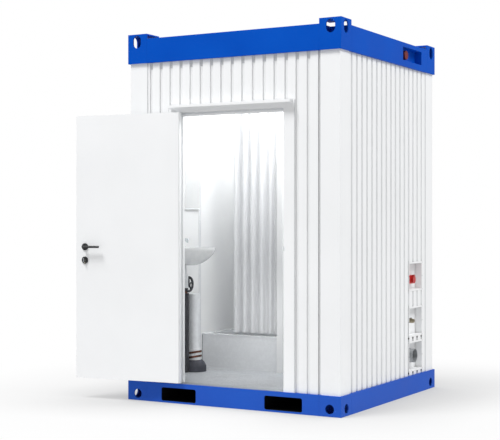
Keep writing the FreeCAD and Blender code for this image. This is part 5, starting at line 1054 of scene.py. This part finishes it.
def sweep_finish():
    mat, tree, _ = fresh("white_studio_sweep")
    seen = add(tree, "LightPath").outputs["Is Camera Ray"]
    fade = add(tree, "MapRange", {"interpolation_type": "SMOOTHSTEP"}, Value=from_cabin(tree),
               From_Min=FADE_FROM, From_Max=FADE_TO, To_Min=WHITE_AT_CABIN, To_Max=1)
    open_sky = add(tree, "AmbientOcclusion", {"samples": 12}, Distance=SHADOW_REACH).outputs["AO"]
    veil = spread(tree, open_sky, 0.35, 1.0, SHADOW_TONE, 1.0)
    veil_tone = add(tree, "CombineXYZ", X=veil, Y=veil, Z=veil).outputs["Vector"]
    near = add(tree, "BsdfDiffuse", Color=blend(tree, seen, grey(FLOOR_BOUNCE), FLOOR_SEEN))
    far = add(tree, "Emission", Color=blend(tree, seen, grey(SWEEP_BOUNCE), veil_tone), Strength=1.0)
    mix = add(tree, "MixShader", Fac=fade.outputs[0])
    tree.links.new(near.outputs[0], mix.inputs[1])
    tree.links.new(far.outputs[0], mix.inputs[2])
    tree.links.new(mix.outputs[0], tree.nodes["Material Output"].inputs["Surface"])
    return mat


bm = bmesh.new()
bmesh.ops.create_circle(bm, cap_ends=True, segments=96, radius=40)
mesh = bpy.data.meshes.new("studio_floor")
bm.to_mesh(mesh)
bm.free()
floor = bpy.data.objects.new("studio_floor", mesh)
bpy.context.scene.collection.objects.link(floor)
floor.location.z = -0.5 * MM
mesh.materials.append(sweep_finish())

STUDIO_LIGHT = (0.465, 0.467, 0.471, 1)
world = bpy.data.worlds.new("studio_white")
bpy.context.scene.world = world
world.use_nodes = True
tree = world.node_tree
seen = add(tree, "LightPath").outputs["Is Camera Ray"]
tree.nodes["Background"].inputs["Strength"].default_value = 1.0
tree.links.new(blend(tree, seen, STUDIO_LIGHT, (1, 1, 1, 1)), tree.nodes["Background"].inputs["Color"])
print("floor and world are set")


# %% Lamps
def soft_lamp(name, where, towards, wide, tall, watts):
    data = bpy.data.lights.new(name, "AREA")
    data.shape = "RECTANGLE"
    data.size, data.size_y = wide, tall
    data.energy = watts
    lamp = bpy.data.objects.new(name, data)
    bpy.context.scene.collection.objects.link(lamp)
    lamp.location = where
    lamp.rotation_euler = (Vector(towards) - Vector(where)).to_track_quat("-Z", "Y").to_euler()
    lamp.visible_camera = False
    return lamp


key = soft_lamp("high_front_key", (-6.5, -11.3, 24.0), (0, 0, 1.3), 8.0, 8.0, 6400)
soft_lamp("high_right_fill", (14.0, 2.5, 17.0), (0, 0, 1.4), 8.0, 8.0, 2600)
soft_lamp("room_glow", (0.25, -0.35, 2.44), (-0.65, -0.10, 1.0), 0.4, 0.4, 10)
soft_lamp("shower_glow", (-0.45, 0.40, 2.50), (-0.50, 0.5, 0.5), 0.4, 0.4, 6)
door_wash = soft_lamp("door_wash", (0.05, -0.56, 0.80), (-0.40, 0.04, 0.30), 0.4, 0.5, 0.62)
door_wash.data.spread = math.radians(100)
soft_lamp("bay_glow", (0.40, 0.30, 2.45), (0.40, 0.5, 0.5), 0.4, 0.4, 5)

flagged = bpy.data.collections.new("kept_from_the_key")
key.light_linking.receiver_collection = flagged
for made in IN_ROOM:
    flagged.objects.link(made)
for member in flagged.collection_objects:
    member.light_linking.link_state = "EXCLUDE"


# %% [markdown]
# The view of the photograph: a long lens, held level, from the right of the door.
# The shift only sets the picture's height, as a view camera does.

# %% Camera
eye = bpy.data.cameras.new("eye")
eye.sensor_width = 36
eye.lens = 87.75
eye.shift_y = -0.0021
camera = bpy.data.objects.new("camera", eye)
bpy.context.scene.collection.objects.link(camera)
camera.location = (4.512, -8.573, 1.382)
camera.rotation_euler = (math.radians(90), 0, math.radians(29.488))
bpy.context.scene.camera = camera
bpy.context.scene.view_settings.view_transform = "Standard"
print("camera at", tuple(camera.location))
